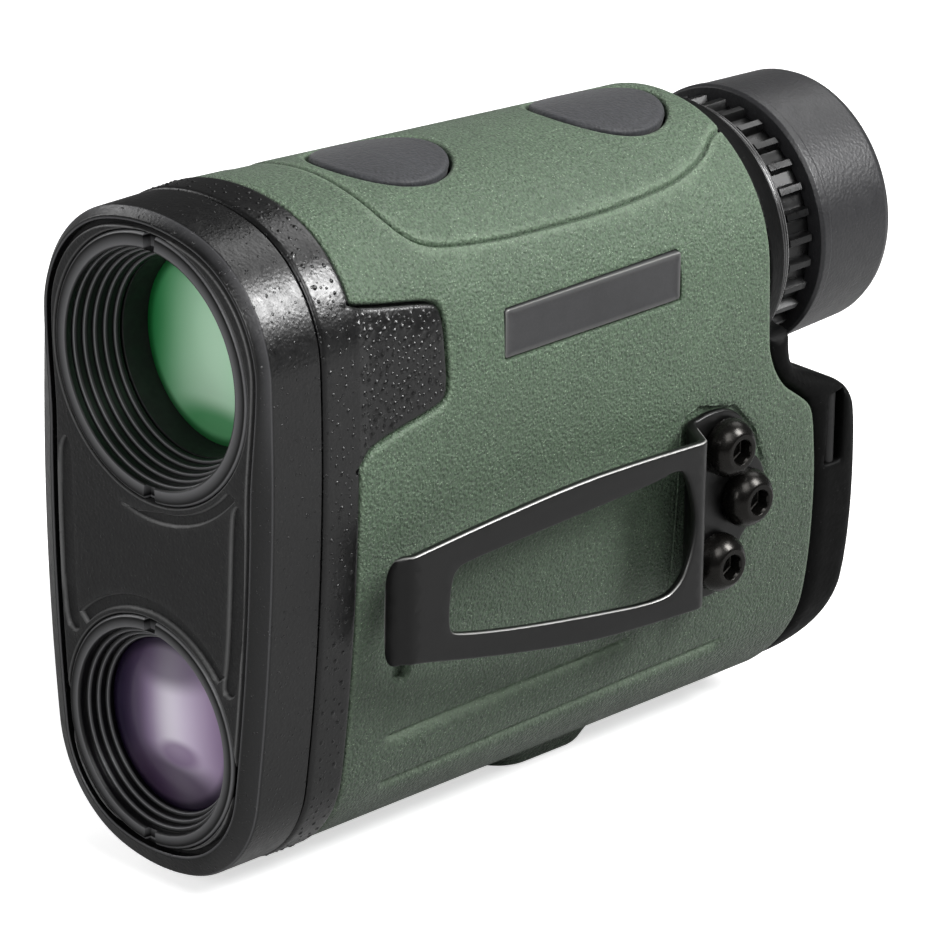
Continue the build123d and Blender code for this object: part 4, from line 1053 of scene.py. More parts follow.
def armour_relief(points, parts):
    """Lift of the armour's outer skin, and its painted highlight lines."""
    girth, y = points[:, 0], points[:, 1]
    free = np.minimum(y - ARMOUR_START,
                      np.interp(girth, parts.rear[:, 0], parts.rear[:, 1]) - y)
    for tab in parts.tabs:
        free = np.minimum(free, distance_to(points, tab))
    for hole in parts.holes:
        free = np.minimum(free, distance_to(points, hole, True))
    free = np.maximum(free, 0)
    lift = -edge_drop(free, ARMOUR_LIP) * 0.8
    # the raised top: a fine groove round it, and the step ahead of it
    border = distance_to(points, parts.plateau)
    on_top = inside(points, closed_at(parts.plateau, 120.0))
    lift += -0.55 * 0.5 * (1 + np.cos(PI * np.clip(border / 0.36, 0, 1)))
    lift += np.where(on_top, 0.14 * ease(0.15, 0.6, border), 0)
    lift += 0.10 * (1 - ease(21.2, 22.4, y)) * ease(34, 26, np.abs(girth)) - 0.04
    # painted highlight lines along the free edges and the plateau border
    glow = 0.28 * peak(free - 0.42, 0.3) + 0.3 * peak(border - 0.42, 0.25)
    for groove in parts.grooves:
        side = np.sign(groove[0, 0])
        below = side * girth - np.interp(y, groove[:, 1], side * groove[:, 0])
        start, end = groove[0, 1], groove[-1, 1]
        along = (ease(start - 0.2, start + 1.6, y) * (1 - ease(end - 1.6, end + 0.2, y))
                 * (side * girth > 0))
        lift += -0.85 * along * np.where(below > 0, 1 - ease(0.0, 1.6, below),
                                         ease(-0.25, 0.0, below))
        # painted highlight along each groove and down its upward-facing lower flank
        ridge = np.clip(np.where(below > 0, 1 - below / 1.6, 1 + below / 0.25), 0, 1)
        glow = np.maximum(glow, 0.55 * along * ridge)
    for badge in parts.badges:
        depth = depth_inside(points, badge)
        lift -= np.where(depth > 0, 1.35 * np.clip(depth / 0.12, 0, 1), 0)
        lift -= pocket_rim(depth, 0.4, 0.12)
        lift -= np.where(depth > 0, 0.12, 0)
    depth = depth_inside(points, parts.clip)
    floor = on_body(girth, y)[:, 0] - 19.95     # the clip pocket has a flat floor
    lift -= np.where(depth > 0, np.clip(floor, 0, 1.6) * np.clip(depth / 0.2, 0, 1), 0)
    lift -= pocket_rim(depth, 0.7, 0.2)
    lift -= 1.3 * ease(-0.25, 0.3, depth_inside(points, parts.pill))
    return lift, glow


def build_armour():
    parts = armour_features()

    def keep(at):
        kept = (at[:, 1] > ARMOUR_START) & (np.abs(at[:, 0]) < HALF)
        kept &= at[:, 1] < np.interp(at[:, 0], parts.rear[:, 0], parts.rear[:, 1])
        for region in parts.tab_regions + parts.holes:
            kept &= ~inside(at, region)
        return kept

    filler = filler_grid(-HALF + 0.7, HALF - 0.7, 16.9, 99.0, 1.35)
    points, faces = triangulate(armour_rows(parts), filler, keep, 0.45)
    lift, glow = armour_relief(points, parts)
    verts, faces = body_sheet(points, faces, lift, np.minimum(-1.1, lift - 0.1),
                              np.minimum(-1.8, lift - 0.2))
    piece("armour_skin", verts, faces, "armour_green", replaces=("armour",), sharp=38,
          weld=SEAM_GAP, edge=glow)


# ---------------------------------------------------------------------------
# Band with grip tabs
# ---------------------------------------------------------------------------
BAND_FRONT, BAND_REAR = BEZEL_END + 0.1, BAND_END + 0.12
BAND_LIP = 0.7


def scatter_pebbles(tabs, regions):
    """Pebbles (girth, y, radius): dense on the tabs, sparse round the band."""
    random = np.random.RandomState(4)
    pebbles = []

    def clear_of(girth, y, radius, gap):
        return all((girth - a) ** 2 + (y - b) ** 2 > (radius + c + gap) ** 2
                   for a, b, c in pebbles)

    for tab, region in zip(tabs, regions):
        for _ in range(2600):
            girth = random.uniform(region[:, 0].min(), region[:, 0].max())
            y = random.uniform(16.0, 30.2)
            spot = np.array([[girth, y]])
            if not inside(spot, region)[0] or distance_to(spot, tab)[0] < 1.0:
                continue
            radius = random.uniform(0.22, 0.5)
            if clear_of(girth, y, radius, 0.12):
                pebbles.append((girth, y, radius))
    for _ in range(900):
        girth = random.uniform(-HALF, HALF)
        y = random.uniform(BAND_FRONT + 1.1, BAND_REAR - 1.1)
        radius = random.uniform(0.16, 0.4)
        if clear_of(girth, y, radius, 0.5):
            pebbles.append((girth, y, radius))
    return pebbles


def band_filler(pebbles):
    """Loose points: a grid away from the pebbles and rings round each pebble."""
    tree = point_tree(pebbles)
    filler = [p for p in filler_grid(-HALF + 0.7, HALF - 0.7, BAND_FRONT + 0.8, 31.0, 1.0)
              if tree.find((p[0], p[1], 0))[2] > 0.62]
    around = np.linspace(0, TURN, 8, endpoint=False)
    for girth, y, radius in pebbles:
        filler.append((girth, y))
        for part in (0.5, 0.8, 1.0):
            filler += [(girth + radius * part * math.cos(a), y + radius * part * math.sin(a))
                       for a in around + part]
    return filler


def build_band():
    """Black band behind the bezel with its grip tabs, pebbled."""
    tabs = [tab_line(0.0, right) for right in (True, False)]
    regions = [closed_at(tab, 11.0) for tab in tabs]
    insets = (0.0, 0.1, 0.25, 0.45, BAND_LIP)
    rows = []
    for inset in insets:
        rows += [(girth_row(BAND_FRONT, 0.6) + [0, inset], False),
                 (girth_row(BAND_REAR, 0.6) - [0, inset], False)]
    for tab, region in zip(tabs, regions):
        rows += rows_towards(tab, insets, region, True)
    for side in (-1, 1):
        rows.append((np.array([(side * HALF, BAND_FRONT + d) for d in (1.6, 3.0, 4.4)]), False))

    def keep(at):
        kept = (at[:, 1] > BAND_FRONT) & (at[:, 1] < BAND_REAR)
        for region in regions:
            kept |= inside(at, region) & (at[:, 1] > BAND_FRONT)
        return kept

    pebbles = scatter_pebbles(tabs, regions)
    points, faces = triangulate(rows, band_filler(pebbles), keep, 0.06)
    y = points[:, 1]
    on_tab = inside(points, regions[0]) | inside(points, regions[1])
    to_tab = np.minimum(distance_to(points, tabs[0]), distance_to(points, tabs[1]))
    free = np.minimum(np.maximum(y - BAND_FRONT, 0),
                      np.where(on_tab, to_tab, np.maximum(BAND_REAR - y, 0)))
    lift = 0.18 - edge_drop(free, BAND_LIP) * 0.75
    lift -= 0.30 * ease(15.2, 17.6, y)
    for girth, pebble_y, radius in pebbles:
        reach = np.hypot(points[:, 0] - girth, y - pebble_y) / radius
        lift += 0.16 * min(1, radius / 0.4) * np.where(reach < 1, (1 - reach * reach), 0)
    verts, faces = body_sheet(points, faces, lift, np.minimum(lift - 0.05, -0.9),
                              np.full(len(points), -1.8))
    piece("band_and_tabs", verts, faces, "band_black", replaces=("front_band",), sharp=40,
          weld=SEAM_GAP)


# ---------------------------------------------------------------------------
# Bezel: a swept rim, the front panel inside it and two collars
# ---------------------------------------------------------------------------
PANEL_HOLES = [(0.0, 17.46), (LASER_Z, 15.26)]          # (z, radius)
# Long recess beside the laser opening, left side: (x, z)
SIDE_RECESS = [
    (-16.9, -15.5), (-16.85, -20), (-16.7, -26), (-16.4, -32), (-15.95, -35.5), (-15.5, -38.2),
    (-14.3, -39.1), (-13.2, -38.6), (-13.2, -37.4), (-13.7, -34.5), (-14.1, -28), (-14.3, -21),
    (-14.5, -15.0), (-15.1, -13.4), (-16.0, -13.2)]
# Collars behind the face: name, z, inner radius at the front edge, outer radius, inward step
COLLARS = [("objective_collar", 0.0, 17.42, 18.3, 1.0), ("laser_collar", LASER_Z, 15.2, 16.0, 0.75)]


def groove_inset(z):
    """Distance of the panel groove's outer side from the outline, by height."""
    return 1.55 + (2.95 - 1.55) * ease(5.0, -13.0, z)


def sweep(name, profile, mat, count, edges=None, **options):
    """Straight ring round the body; profile(z) gives a closed list of (y, lift)."""
    girth = np.linspace(-HALF, HALF, count, endpoint=False)
    heights = on_body(girth, np.zeros(count))[:, 2]
    rows = brace([profile(z) for z in heights])
    size = rows.shape[1]
    # painted highlight lines round the profile points that edges(z) gives
    glow = np.zeros((count, size))
    if edges:
        for i, z in enumerate(heights):
            for y, lift in edges(z):
                reach = np.hypot(rows[i][:, 0] - y, rows[i][:, 1] - lift)
                glow[i] = np.maximum(glow[i], 1 - reach / 0.2)
    verts = on_body(np.broadcast_to(girth[:, None], (count, size)), 0.0, rows[..., 1])
    verts[..., 1] = rows[..., 0]
    faces = []
    for i in range(count):
        k = (i + 1) % count
        for j in range(size):
            m = (j + 1) % size
            faces.append((i * size + j, k * size + j, k * size + m, i * size + m))
    piece(name, verts.reshape(-1, 3), faces, mat, edge=np.clip(glow, 0, 1).ravel(), **options)


def build_bezel_rim():
    def profile(z):
        inset = groove_inset(z)
        return rounded([(0.0, -inset, 0.16), (0.05, -inset + 0.45, 0.3), (1.25, 0.0, 0.42),
                        (9.32, 0.0, 0.3), (9.32, -1.6), (3.2, -1.9), (1.35, -inset, 0.1)], 5)

    # the rim's edges get painted highlight lines
    sweep("bezel_rim", profile, "bezel_black", 560, replaces=("front_bezel",), sharp=40,
          edges=lambda z: [(0.03, -groove_inset(z) + 0.12), (1.15, -0.12)])


def circle_arc(z, radius, start, end):
    angle = np.radians(np.linspace(start, end, 60))
    return np.stack([radius * np.cos(angle), z + radius * np.sin(angle)], 1)


def panel_recesses():
    """(outline, depth) of the recesses; raised lands are left between them."""
    left = resample(smooth(np.array(SIDE_RECESS), 2, True), 0.4, True)
    over_laser = np.vstack([circle_arc(LASER_Z, 17.7, 137, 41),
                            circle_arc(LASER_Z, 16.05, 41, 137)])
    crescent = np.vstack([circle_arc(0, 19.75, -106, -39), circle_arc(0, 18.35, -41, -84),
                          [(-2.2, -19.2)]])
    return [(left, 0.62), (left * [-1, 1], 0.62), (resample(over_laser, 0.4, True), 0.62),
            (resample(crescent, 0.4, True), 0.5)]


def build_bezel_panel():
    girth = np.linspace(-HALF, HALF, 420, endpoint=False)
    inset = groove_inset(on_body(girth, np.zeros(len(girth)))[:, 2]) + 0.72

    def border(distance):
        return on_body(girth, np.zeros(len(girth)), -inset - distance)[:, [0, 2]]

    outer = border(0.0)
    recesses = panel_recesses()
    rows = [(border(d), True) for d in (0.0, 0.1, 0.25, 0.45)]
    angle = np.linspace(0, TURN, 260, endpoint=False)
    for z, radius in PANEL_HOLES:
        for r in (radius, radius + 0.12, radius + 0.3):
            rows.append((np.stack([r * np.cos(angle), z + r * np.sin(angle)], 1), True))
    for outline, _ in recesses:
        rows += offset_rows(outline, (-0.18, 0.0, 0.18), True)

    def keep(at):
        kept = inside(at, outer)
        for z, radius in PANEL_HOLES:
            kept &= np.hypot(at[:, 0], at[:, 1] - z) > radius
        return kept

    points, faces = triangulate(rows, filler_grid(-20, 20, -66, 19, 0.9), keep, 0.3)
    x, z = points[:, 0], points[:, 1]
    y = np.zeros(len(points)) + 0.02
    rim = distance_to(points, outer, True)
    y += edge_drop(np.where(inside(points, outer) | (rim < 1e-3), rim, 0), 0.4) * 0.9
    # painted highlight lines along the outer edge, the hole edges and the recess edges
    glow = 0.9 * peak(rim - 0.1, 0.16)
    for hole_z, radius in PANEL_HOLES:
        out = np.hypot(x, z - hole_z) - radius
        y += edge_drop(np.maximum(out, 0), 0.28) * 0.9
        glow = np.maximum(glow, 0.6 * peak(out - 0.12, 0.16))
    for outline, recess_depth in recesses:
        depth = depth_inside(points, outline)
        y += recess_depth * ease(-0.17, 0.17, depth)
        glow = np.maximum(glow, peak(depth + 0.02, 0.17))
    back = np.full(len(points), 4.2)
    verts, faces = close_sheet(faces, np.stack([x, y, z], 1), np.stack([x, back, z], 1))
    piece("bezel_panel", verts, faces, "panel_black", slot="bezel_black", sharp=42, edge=glow)


def build_bezel():
    build_bezel_rim()
    build_bezel_panel()

    def floor(z):
        inset = groove_inset(z)
        return [(1.3, -inset + 0.3), (1.3, -inset - 1.0), (3.0, -inset - 1.0),
                (3.0, -inset + 0.3)]

    sweep("bezel_groove_floor", floor, "housing_black", 280, slot="bezel_black")
    for name, z, inner, outer, step in COLLARS:
        lathe(name, [(1.55, inner), (1.55, outer), (9.3, outer), (9.3, inner - step),
                     (1.62, inner - step)], z, "bezel_black", 160)


# ---------------------------------------------------------------------------
# Retaining rings and front optics
# ---------------------------------------------------------------------------
NOTCHES = (PI / 2, 3 * PI / 2)                  # at 12 and 6 o'clock


def notch_angles(count, half):
    """Even angles with extra ones at the sides of the notches; half is half their angle."""
    angles = list(np.linspace(0, TURN, count, endpoint=False))
    for centre in NOTCHES:
        angles = [a for a in angles if abs((a - centre + PI) % TURN - PI) > half * 1.35]
        angles += [centre + half * k for k in (-1.25, -1, -0.9, 0, 0.9, 1, 1.25)]
    return np.array(sorted(a % TURN for a in angles))


def in_notch(angles, half):
    found = np.zeros(len(angles), bool)
    for centre in NOTCHES:
        found |= np.abs((angles - centre + PI) % TURN - PI) < half * 0.95
    return found


def retaining_ring(name, node, z, lip, wall, back, end, ledges, notch, count):
    """Flat lip with two notches, then stepped baffles down to the glass.

    lip: inner and outer radius; wall: radius behind the lip; back: rear y;
    end: ((y above the last ledge, ...), radius) of the closing points.
    """
    lip_in, lip_out = lip
    outer = lip_out + 0.4
    radius, y = ledges.bore, ledges.y
    # profile points that get painted highlight lines
    edges = [(0.02, lip_in + 0.1), (0.1, lip_out + 0.1)]
    profile = [(-0.02, lip_in, 0.14), (-0.02, lip_out, 0.3), (0.4, outer), (1.5, outer),
               (1.5, wall), (back, wall), (back, radius, 0.1)]
    for _ in range(ledges.count):
        profile += [(y + ledges.slope, radius, ledges.foot_round),
                    (y, radius + ledges.rim, 0.1), (y, radius + ledges.width)]
        edges.append((y + 0.02, radius + ledges.rim + 0.02))
        radius, y = radius + ledges.rise, y - ledges.pitch
    profile += [(y + up, end[1]) for up in end[0]]
    half = 1.0 / notch.middle

    def cut(angles, ys, radii):
        low = in_notch(angles, half) & (radii > notch.inner)
        return np.where(low, np.maximum(ys, notch.depth), ys), radii

    lathe(name, rounded(profile, 3), z, "ring_black", notch_angles(count, half), reshape=cut,
          edges=edges, replaces=(node,), slot="anodised_black", sharp=30)


def lens(name, node, z, mat, rim_y, radius, sag, edge):
    """Domed front and a flat back."""
    sphere = (radius * radius + sag * sag) / (2 * sag)
    profile = []
    for i in range(27):
        reach = radius * math.sin(PI / 2 * i / 26)
        profile.append((rim_y - (math.sqrt(sphere * sphere - reach * reach) - (sphere - sag)),
                        reach))
    profile += [(rim_y + edge, radius), (rim_y + edge, 0.0)]
    lathe(name, profile, z, mat, 160, replaces=(node,), closed=False, sharp=50)


def build_front_optics():
    retaining_ring(
        "objective_ring", "objective_retaining_ring", 0.0, lip=(15.45, 17.0), wall=16.3,
        back=6.9, end=((0.9, 0.2), 15.25), count=220,
        ledges=SimpleNamespace(count=5, bore=12.95, y=6.15, slope=0.5, foot_round=0.1,
                               rim=0.14, width=0.50, rise=0.5, pitch=1.25),
        notch=SimpleNamespace(middle=16.2, inner=15.3, depth=1.15))
    retaining_ring(
        "laser_ring", "laser_retaining_ring", LASER_Z, lip=(13.5, 14.8), wall=14.4,
        back=3.95, end=((0.75, 0.25), 13.3), count=200,
        ledges=SimpleNamespace(count=3, bore=11.3, y=3.15, slope=0.4, foot_round=0.12,
                               rim=0.12, width=0.62, rise=0.65, pitch=1.0),
        notch=SimpleNamespace(middle=14.2, inner=13.3, depth=0.95))
    lens("objective_glass", "objective_crown_lens", 0.0, "coated_glass_green",
         rim_y=11.36, radius=13.33, sag=1.5, edge=1.6)
    lens("laser_glass", "laser_lens", LASER_Z, "coated_glass_violet",
         rim_y=4.22, radius=11.58, sag=2.6, edge=3.1)
    lathe("objective_lock", rounded([(7.3, 12.95, 0.08), (11.2, 12.66, 0.08), (11.2, 13.3),
                                     (7.3, 13.3)], 3), 0.0, "housing_black", 160,
          replaces=("objective_lock_ring",), slot="anodised_black")


# ---------------------------------------------------------------------------
# Eyepiece: profiles are (y, radius[, corner radius])
# ---------------------------------------------------------------------------
FLANGE = [
    (85.5, 12.55), (85.5, 13.6), (88.4, 13.6), (88.4, 16.0), (94.35, 16.0), (94.35, 17.1, 0.35),
    (95.0, 17.12, 0.2), (95.12, 16.9, 0.06), (95.3, 16.95, 0.06), (95.62, 16.9, 0.15),
    (95.62, 13.6), (112.0, 13.6, 0.2), (112.0, 12.55, 0.2)]
DIOPTER = ([(95.78, 13.65), (95.78, 15.1), (95.86, 15.3)]
           + [(y, 15.34) for y in (95.95, 96.1, 96.3, 96.7, 97.7, 99.0, 100.1, 100.3, 100.5,
                                   100.7)]
           + [(100.85, 15.32), (101.05, 15.1), (101.05, 13.65)])
DIOPTER_RIBS = 30
EYECUP_TUBE = [(101.42, 13.66), (101.42, 14.98, 0.2), (112.6, 14.98), (112.6, 13.66)]
EYECUP = [
    (101.24, 15.06), (101.24, 17.3, 0.25), (101.75, 17.64, 0.45), (102.9, 17.6, 0.2),
    (103.0, 17.5, 0.15), (114.0, 17.0, 1.2), (115.0, 16.6, 0.7), (115.5, 15.7, 0.6),
    (115.5, 14.2, 0.5), (114.8, 13.2, 0.4), (112.7, 13.2), (112.7, 15.06)]
LOCK_RING = [(104.3, 10.8, 0.1), (104.3, 11.5), (106.2, 11.5, 0.1), (106.2, 10.8, 0.25)]
LOCK_NOTCH_HALF = 0.7 / 11.1
LOCK_NOTCH_Y = 105.5


def diopter_ribs(angles, y, radius):
    phase = (angles * DIOPTER_RIBS / TURN) % 1.0
    rib = ease(0.24, 0.36, phase) * (1 - ease(0.64, 0.76, phase))
    middle = ease(95.85, 96.3, y) * (1 - ease(100.3, 100.7, y))
    return y, np.where(radius > 15.0, radius + 1.15 * rib * middle, radius)


def lock_notches(angles, y, radius):
    """Notches cut in the rear face."""
    low = in_notch(angles, LOCK_NOTCH_HALF) & (y > LOCK_NOTCH_Y)
    return np.where(low, LOCK_NOTCH_Y, y), radius


def build_eyepiece():
    # the flange's edges get painted highlight lines
    lathe("eyepiece_flange", rounded(FLANGE, 4), EYE_Z, "flange_black", 200,
          edges=[(94.45, 17.1), (95.0, 17.1), (95.5, 16.93)],
          replaces=("eyepiece_housing",), slot="anodised_black")
    lathe("diopter_grip", DIOPTER, EYE_Z, "anodised_black", DIOPTER_RIBS * 16, "diopter_ring",
          reshape=diopter_ribs, replaces=("diopter_ring",), sharp=45)
    lathe("eyecup_tube", rounded(EYECUP_TUBE, 3), EYE_Z, "anodised_black", 160,
          "eyecup_carrier", replaces=("eyecup_carrier",))
    lathe("eyecup_rubber", rounded(EYECUP, 7), EYE_Z, "cup_rubber", 220, "eyecup",
          replaces=("eyecup",))
    lathe("eye_lens_ring", rounded(LOCK_RING, 3), EYE_Z, "ring_black",
          notch_angles(160, LOCK_NOTCH_HALF), "eyepiece_cell", reshape=lock_notches,
          replaces=("eye_lens_lock_ring",), slot="anodised_black")


# ---------------------------------------------------------------------------
# Rear cover, tripod pad, battery cap: blended volumes
# ---------------------------------------------------------------------------
# Collar round the eyepiece: (y, radius[, corner radius])
COLLAR = [(88.95, 10), (94.3, 10), (94.3, 17.3, 0.5), (92.9, 18.35, 1.2), (91.0, 19.3, 1.0),
          (88.95, 20.0)]


def collar_field(ys, eye_radius, step):
    """Field of the eyepiece collar, looked up by radius from its half section."""
    section = outline_field(*np.meshgrid(ys, np.arange(0, 30, step / 2), indexing="ij"),
                            np.array(rounded(COLLAR, 4)))
    place = np.clip(eye_radius / (step / 2), 0, section.shape[1] - 2)
    below = place.astype(int)
    part = place - below
    return np.stack([row[below] * (1 - part) + row[below + 1] * part for row in section], 1)


def build_cover():
    step = 0.36
    axes = grid_axes([(-21.8, 21.8), (87.6, 109.6), (-68.0, 17.0)], step)
    xs, ys, zs = axes
    side_y, side_z = np.meshgrid(ys, zs, indexing="ij")
    back = smooth(np.array(COVER_BACK), 3)
    front = [(y + 0.12, z) for y, z in ARMOUR_EDGE[1:]]
    side = outline_field(side_y, side_z, np.array(front + [tuple(p) for p in back[::-1]]))
    side = side[None]
    section_x, section_z = np.meshgrid(xs, zs, indexing="ij")
    out = np.empty((len(xs), len(ys), len(zs)), np.float32)
    for j, y in enumerate(ys):
        outline = [np.full(section_x.shape, float(value)) for value in outline_at(y)]
        out[:, j, :] = section_field(section_x, section_z, outline)
    skin = out + 0.42
    field = blend_max(skin, side, 2.6)
    # shallow border line just inside the armour edge
    border = np.array([(60, 30)] + [(y + 1.35, z) for y, z in ARMOUR_EDGE[1:]] + [(60, -70)])
    line = np.abs(outline_field(side_y, side_z, border))[None]
    field = np.maximum(field, np.where(
        line < 0.32, skin + 0.22 * np.cos(line / 0.32 * PI / 2), field))
    eye_radius = np.hypot(section_x, section_z - EYE_Z)
    collar = np.maximum(collar_field(ys, eye_radius, step), out + 0.2)
    field = blend_min(field, collar, 0.8)
    core = np.maximum(field, side) + 1.3
    x, y, z = xs[:, None, None], ys[None, :, None], zs[None, None, :]
    # scoop under the eyecup, neck bore
    eye_radius = eye_radius[:, None, :]
    field = blend_max(field, -np.maximum(eye_radius - 18.25, 94.3 - y), 0.5)
    field = np.maximum(field, -(eye_radius - 16.1))
    # battery bore and the seat of its cap
    battery_radius = np.hypot(x, z - BATTERY_Z)
    field = np.maximum(field, -(battery_radius - 9.5))
    field = blend_max(field, -np.maximum(battery_radius - 11.35, 107.0 - y), 0.35)
    # cavity round the battery tube, and the lanyard slot
    box = np.maximum(np.maximum(np.abs(x) - 12.5, np.abs(y - 97.0) - 9.0),
                     np.abs(z + 44.0) - 17.0)
    field = np.maximum(field, -np.maximum(box, core))
    slot = np.maximum(np.maximum(np.abs(y - 102.75) - 1.15, np.abs(z + 29.4) - 4.55) - 0.4,
                      14.9 - x)
    field = blend_max(field, -slot, 0.5)
    for end in (0, -1):                         # the grid's rim is outside
        field[end] = field[:, end] = field[:, :, end] = 5
    verts, faces = surface_net(field, axes, step)
    piece("rear_cover_shell", verts, faces, "cover_black", replaces=("rear_cover",), sharp=50)


def build_pad():
    """Rounded pad round the tripod thread, flared where it meets the body."""
    step = 0.3
    axes = grid_axes([(-10.2, 10.2), (49.6, 78.4), (-69.4, -64.4)], step)
    x, y, z = np.meshgrid(*axes, indexing="ij")
    rise = np.clip((z + AXIS_Z) / 4.0, 0, 1)
    corner = 5.4 + 1.0 * rise
    over_x = np.abs(x) - (6.3 + 1.4 * rise + 0.8 * rise ** 4) + corner
    over_y = np.abs(y - 63.4 - 0.6 * rise) - (9.0 + 2.7 * rise + 0.8 * rise ** 4) + corner
    field = (np.hypot(np.maximum(over_x, 0), np.maximum(over_y, 0))
             + np.minimum(np.maximum(over_x, over_y), 0) - corner)
    field = blend_max(field, -z - 68.78, 0.7)
    field = np.maximum(field, z + 65.0)
    field = blend_max(field, -(np.hypot(x, y - TRIPOD_Y) - 5.0), 0.35)
    verts, faces = surface_net(field, axes, step)
    piece("armour_pad", verts, faces, "armour_green", sharp=50)


def build_battery_cap():
    """Stem, rounded head, and a dished rear face with a level slot."""
    step = 0.26
    axes = grid_axes([(-12.0, 12.0), (103.5, 111.0), (BATTERY_Z - 12.0, BATTERY_Z + 12.0)],
                     step)
    x, y, z = np.meshgrid(*axes, indexing="ij")
    radius = np.hypot(x, z - BATTERY_Z)
    stem = np.maximum(radius - 8.1, np.maximum(104.2 - y, y - 109.5))
    head = blend_max(radius - 11.15, np.maximum(107.55 - y, y - 110.08), 0.9)
    dish = np.maximum(radius - 9.0, 109.75 - y)
    slot = np.maximum.reduce([np.abs(z - BATTERY_Z) - 0.9, np.abs(x) - 7.2, 108.5 - y])
    field = blend_max(np.minimum(stem, head), -dish, 0.3)
    field = blend_max(field, -slot, 0.3)
    verts, faces = surface_net(field, axes, step)
    piece("battery_door", verts, faces, "cover_black", "battery_cap",
          replaces=("battery_cap",), sharp=50)


# ---------------------------------------------------------------------------
# Buttons
# ---------------------------------------------------------------------------
def build_button(name, centre_y, node):
    """Domed rubber key: concentric rings over the surface, sides down to the flange."""
    angles = np.linspace(0, TURN, 120, endpoint=False)

    def ring(scale, lift):
        x = 8.4 * scale * np.cos(angles)
        y = centre_y + 9.08 * scale * np.sin(angles)
        girth = np.array([girth_at_x(*point) for point in zip(x, y)])
        return on_body(girth, y, lift)

    def centre(lift):
        return ring(1e-4, lift).mean(0)[None]

    rings = [centre(0.2)]
    scales = [math.sin(PI / 2 * (i / 12)) * 0.9 for i in range(1, 13)]
    for scale in scales + [0.93, 0.955, 0.975, 0.99, 1.0]:
        lift = 0.2 - 0.08 * scale * scale - edge_drop((1 - scale) * 9.0, 0.62) * 0.85
        lift -= 0.05 * float(ease(0.80, 0.84, scale) * (1 - ease(0.84, 0.88, scale)))
        rings.append(ring(scale, lift))
    rings += [ring(1.0, -1.6), ring(0.97, -3.4), centre(-3.4)]
    piece(name, np.vstack(rings), join_rings([len(r) for r in rings]), "button_grey", node,
          replaces=(node,), sharp=45)


# ---------------------------------------------------------------------------
# Badge plates: blank, with a recessed field
# ---------------------------------------------------------------------------
BADGE_PLATE = [(40.65, -3.45, 0.3), (71.85, -3.45, 0.3), (71.85, 2.97, 0.3), (40.65, 2.97, 0.3)]


def build_badges():
    outer = resample(np.array(rounded(BADGE_PLATE, 5)), 0.4, True)
    rows = [(outer, True)] + rows_towards(outer, (0.1, 0.22, 0.75, 0.9), outer, True, True)
    points, sheet = triangulate(rows, filler_grid(40.6, 71.9, -3.4, 3.0, 0.8),
                                lambda at: inside(at, outer), 0.3)
    y, z = points[:, 0], points[:, 1]
    depth = np.maximum(depth_inside(points, outer), 0)
    lift = -edge_drop(depth, 0.25) - 0.05 * ease(0.74, 0.92, depth)
    x = np.interp(y, [40.6, 71.8], [20.28, 20.22]) + lift
    for side, name in ((1, "badge_plate_right"), (-1, "badge_plate_left")):
        back = np.full(len(points), side * 19.22)
        verts, faces = close_sheet(sheet, np.stack([side * x, y, z], 1),
                                   np.stack([back, y, z], 1))
        # painted highlight line just inside the plate's edge
        piece(name, verts, faces, "badge_grey", replaces=("badge_plates",), sharp=38,
              edge=peak(depth - 0.12, 0.14))


# ---------------------------------------------------------------------------
# Belt clip: one bent sheet, from the front lip to the screwed foot
# ---------------------------------------------------------------------------
# Middle of the sheet in plan: (x, y[, bend radius])
CLIP_PATH = [(23.35, 17.75), (25.2, 18.15, 1.0), (26.42, 19.0, 0.85), (26.42, 70.4, 1.5),
             (20.78, 73.7, 1.4), (20.78, 90.0)]
# Sheet outline at the front lip, above and below: (length along the path, z)
CLIP_LIP_UPPER = [(0.0, -26.5), (0.35, -24.2), (1.2, -22.5), (2.4, -21.75)]
CLIP_LIP_LOWER = [(2.4, -36.0), (1.5, -36.6), (0.6, -36.4), (0.0, -35.0)]
# Rest of the outline, back along the top, round the foot and forward below: (y, z)
CLIP_OUTLINE = [
    (20.0, -21.6), (31.3, -20.7), (46.6, -19.8), (56.9, -19.9), (69.0, -20.4), (72.2, -20.6),
    (74.5, -20.4), (77.0, -19.9), (81.0, -20.3), (83.8, -22.8), (84.8, -27.2), (87.2, -29.4),
    (88.0, -33.2), (86.6, -36.9), (83.2, -38.6), (83.0, -42.2), (80.6, -45.2), (77.0, -45.8),
    (74.5, -44.8), (72.2, -43.7), (69.6, -43.4), (63.2, -43.1), (49.8, -42.2), (31.7, -38.8),
    (20.0, -36.1)]
# Window in the arm: (y, z)
CLIP_WINDOW = [
    (62.0, -23.6), (64.4, -23.0), (67.0, -23.6), (68.7, -28.8), (69.0, -31.4), (68.3, -35.2),
    (66.6, -38.7), (63.2, -40.3), (50, -38.45), (36.7, -36.3), (26.5, -34.1), (25.4, -33.3),
    (25.2, -30.9), (25.6, -26.8), (26.3, -25.5), (27.8, -24.9), (44, -24.3)]
CLIP_SCREWS = [(79.4, -25.0), (83.0, -32.9), (78.2, -40.6)]     # (y, z)
# Where the clip's movement starts and ends
CLIP_FLEX = [[20.75, 74.6, -33.0], [20.75, 72.6, -33.0]]

_path = resample(np.array(rounded(CLIP_PATH, 8, closed=False)), 0.1)
_length = np.r_[0, np.cumsum(np.linalg.norm(np.diff(_path, axis=0), axis=1))]
_along = np.gradient(_path, axis=0)
_along /= np.linalg.norm(_along, axis=1)[:, None]


def path_length(y):
    """Length along the clip's path where it passes y, behind the front lip."""
    first = int(np.argmax(_path[:, 1] > 18.2))
    return float(np.interp(y, _path[first:, 1], _length[first:]))


def unbent(points):
    return [(path_length(y), z) for y, z in points]


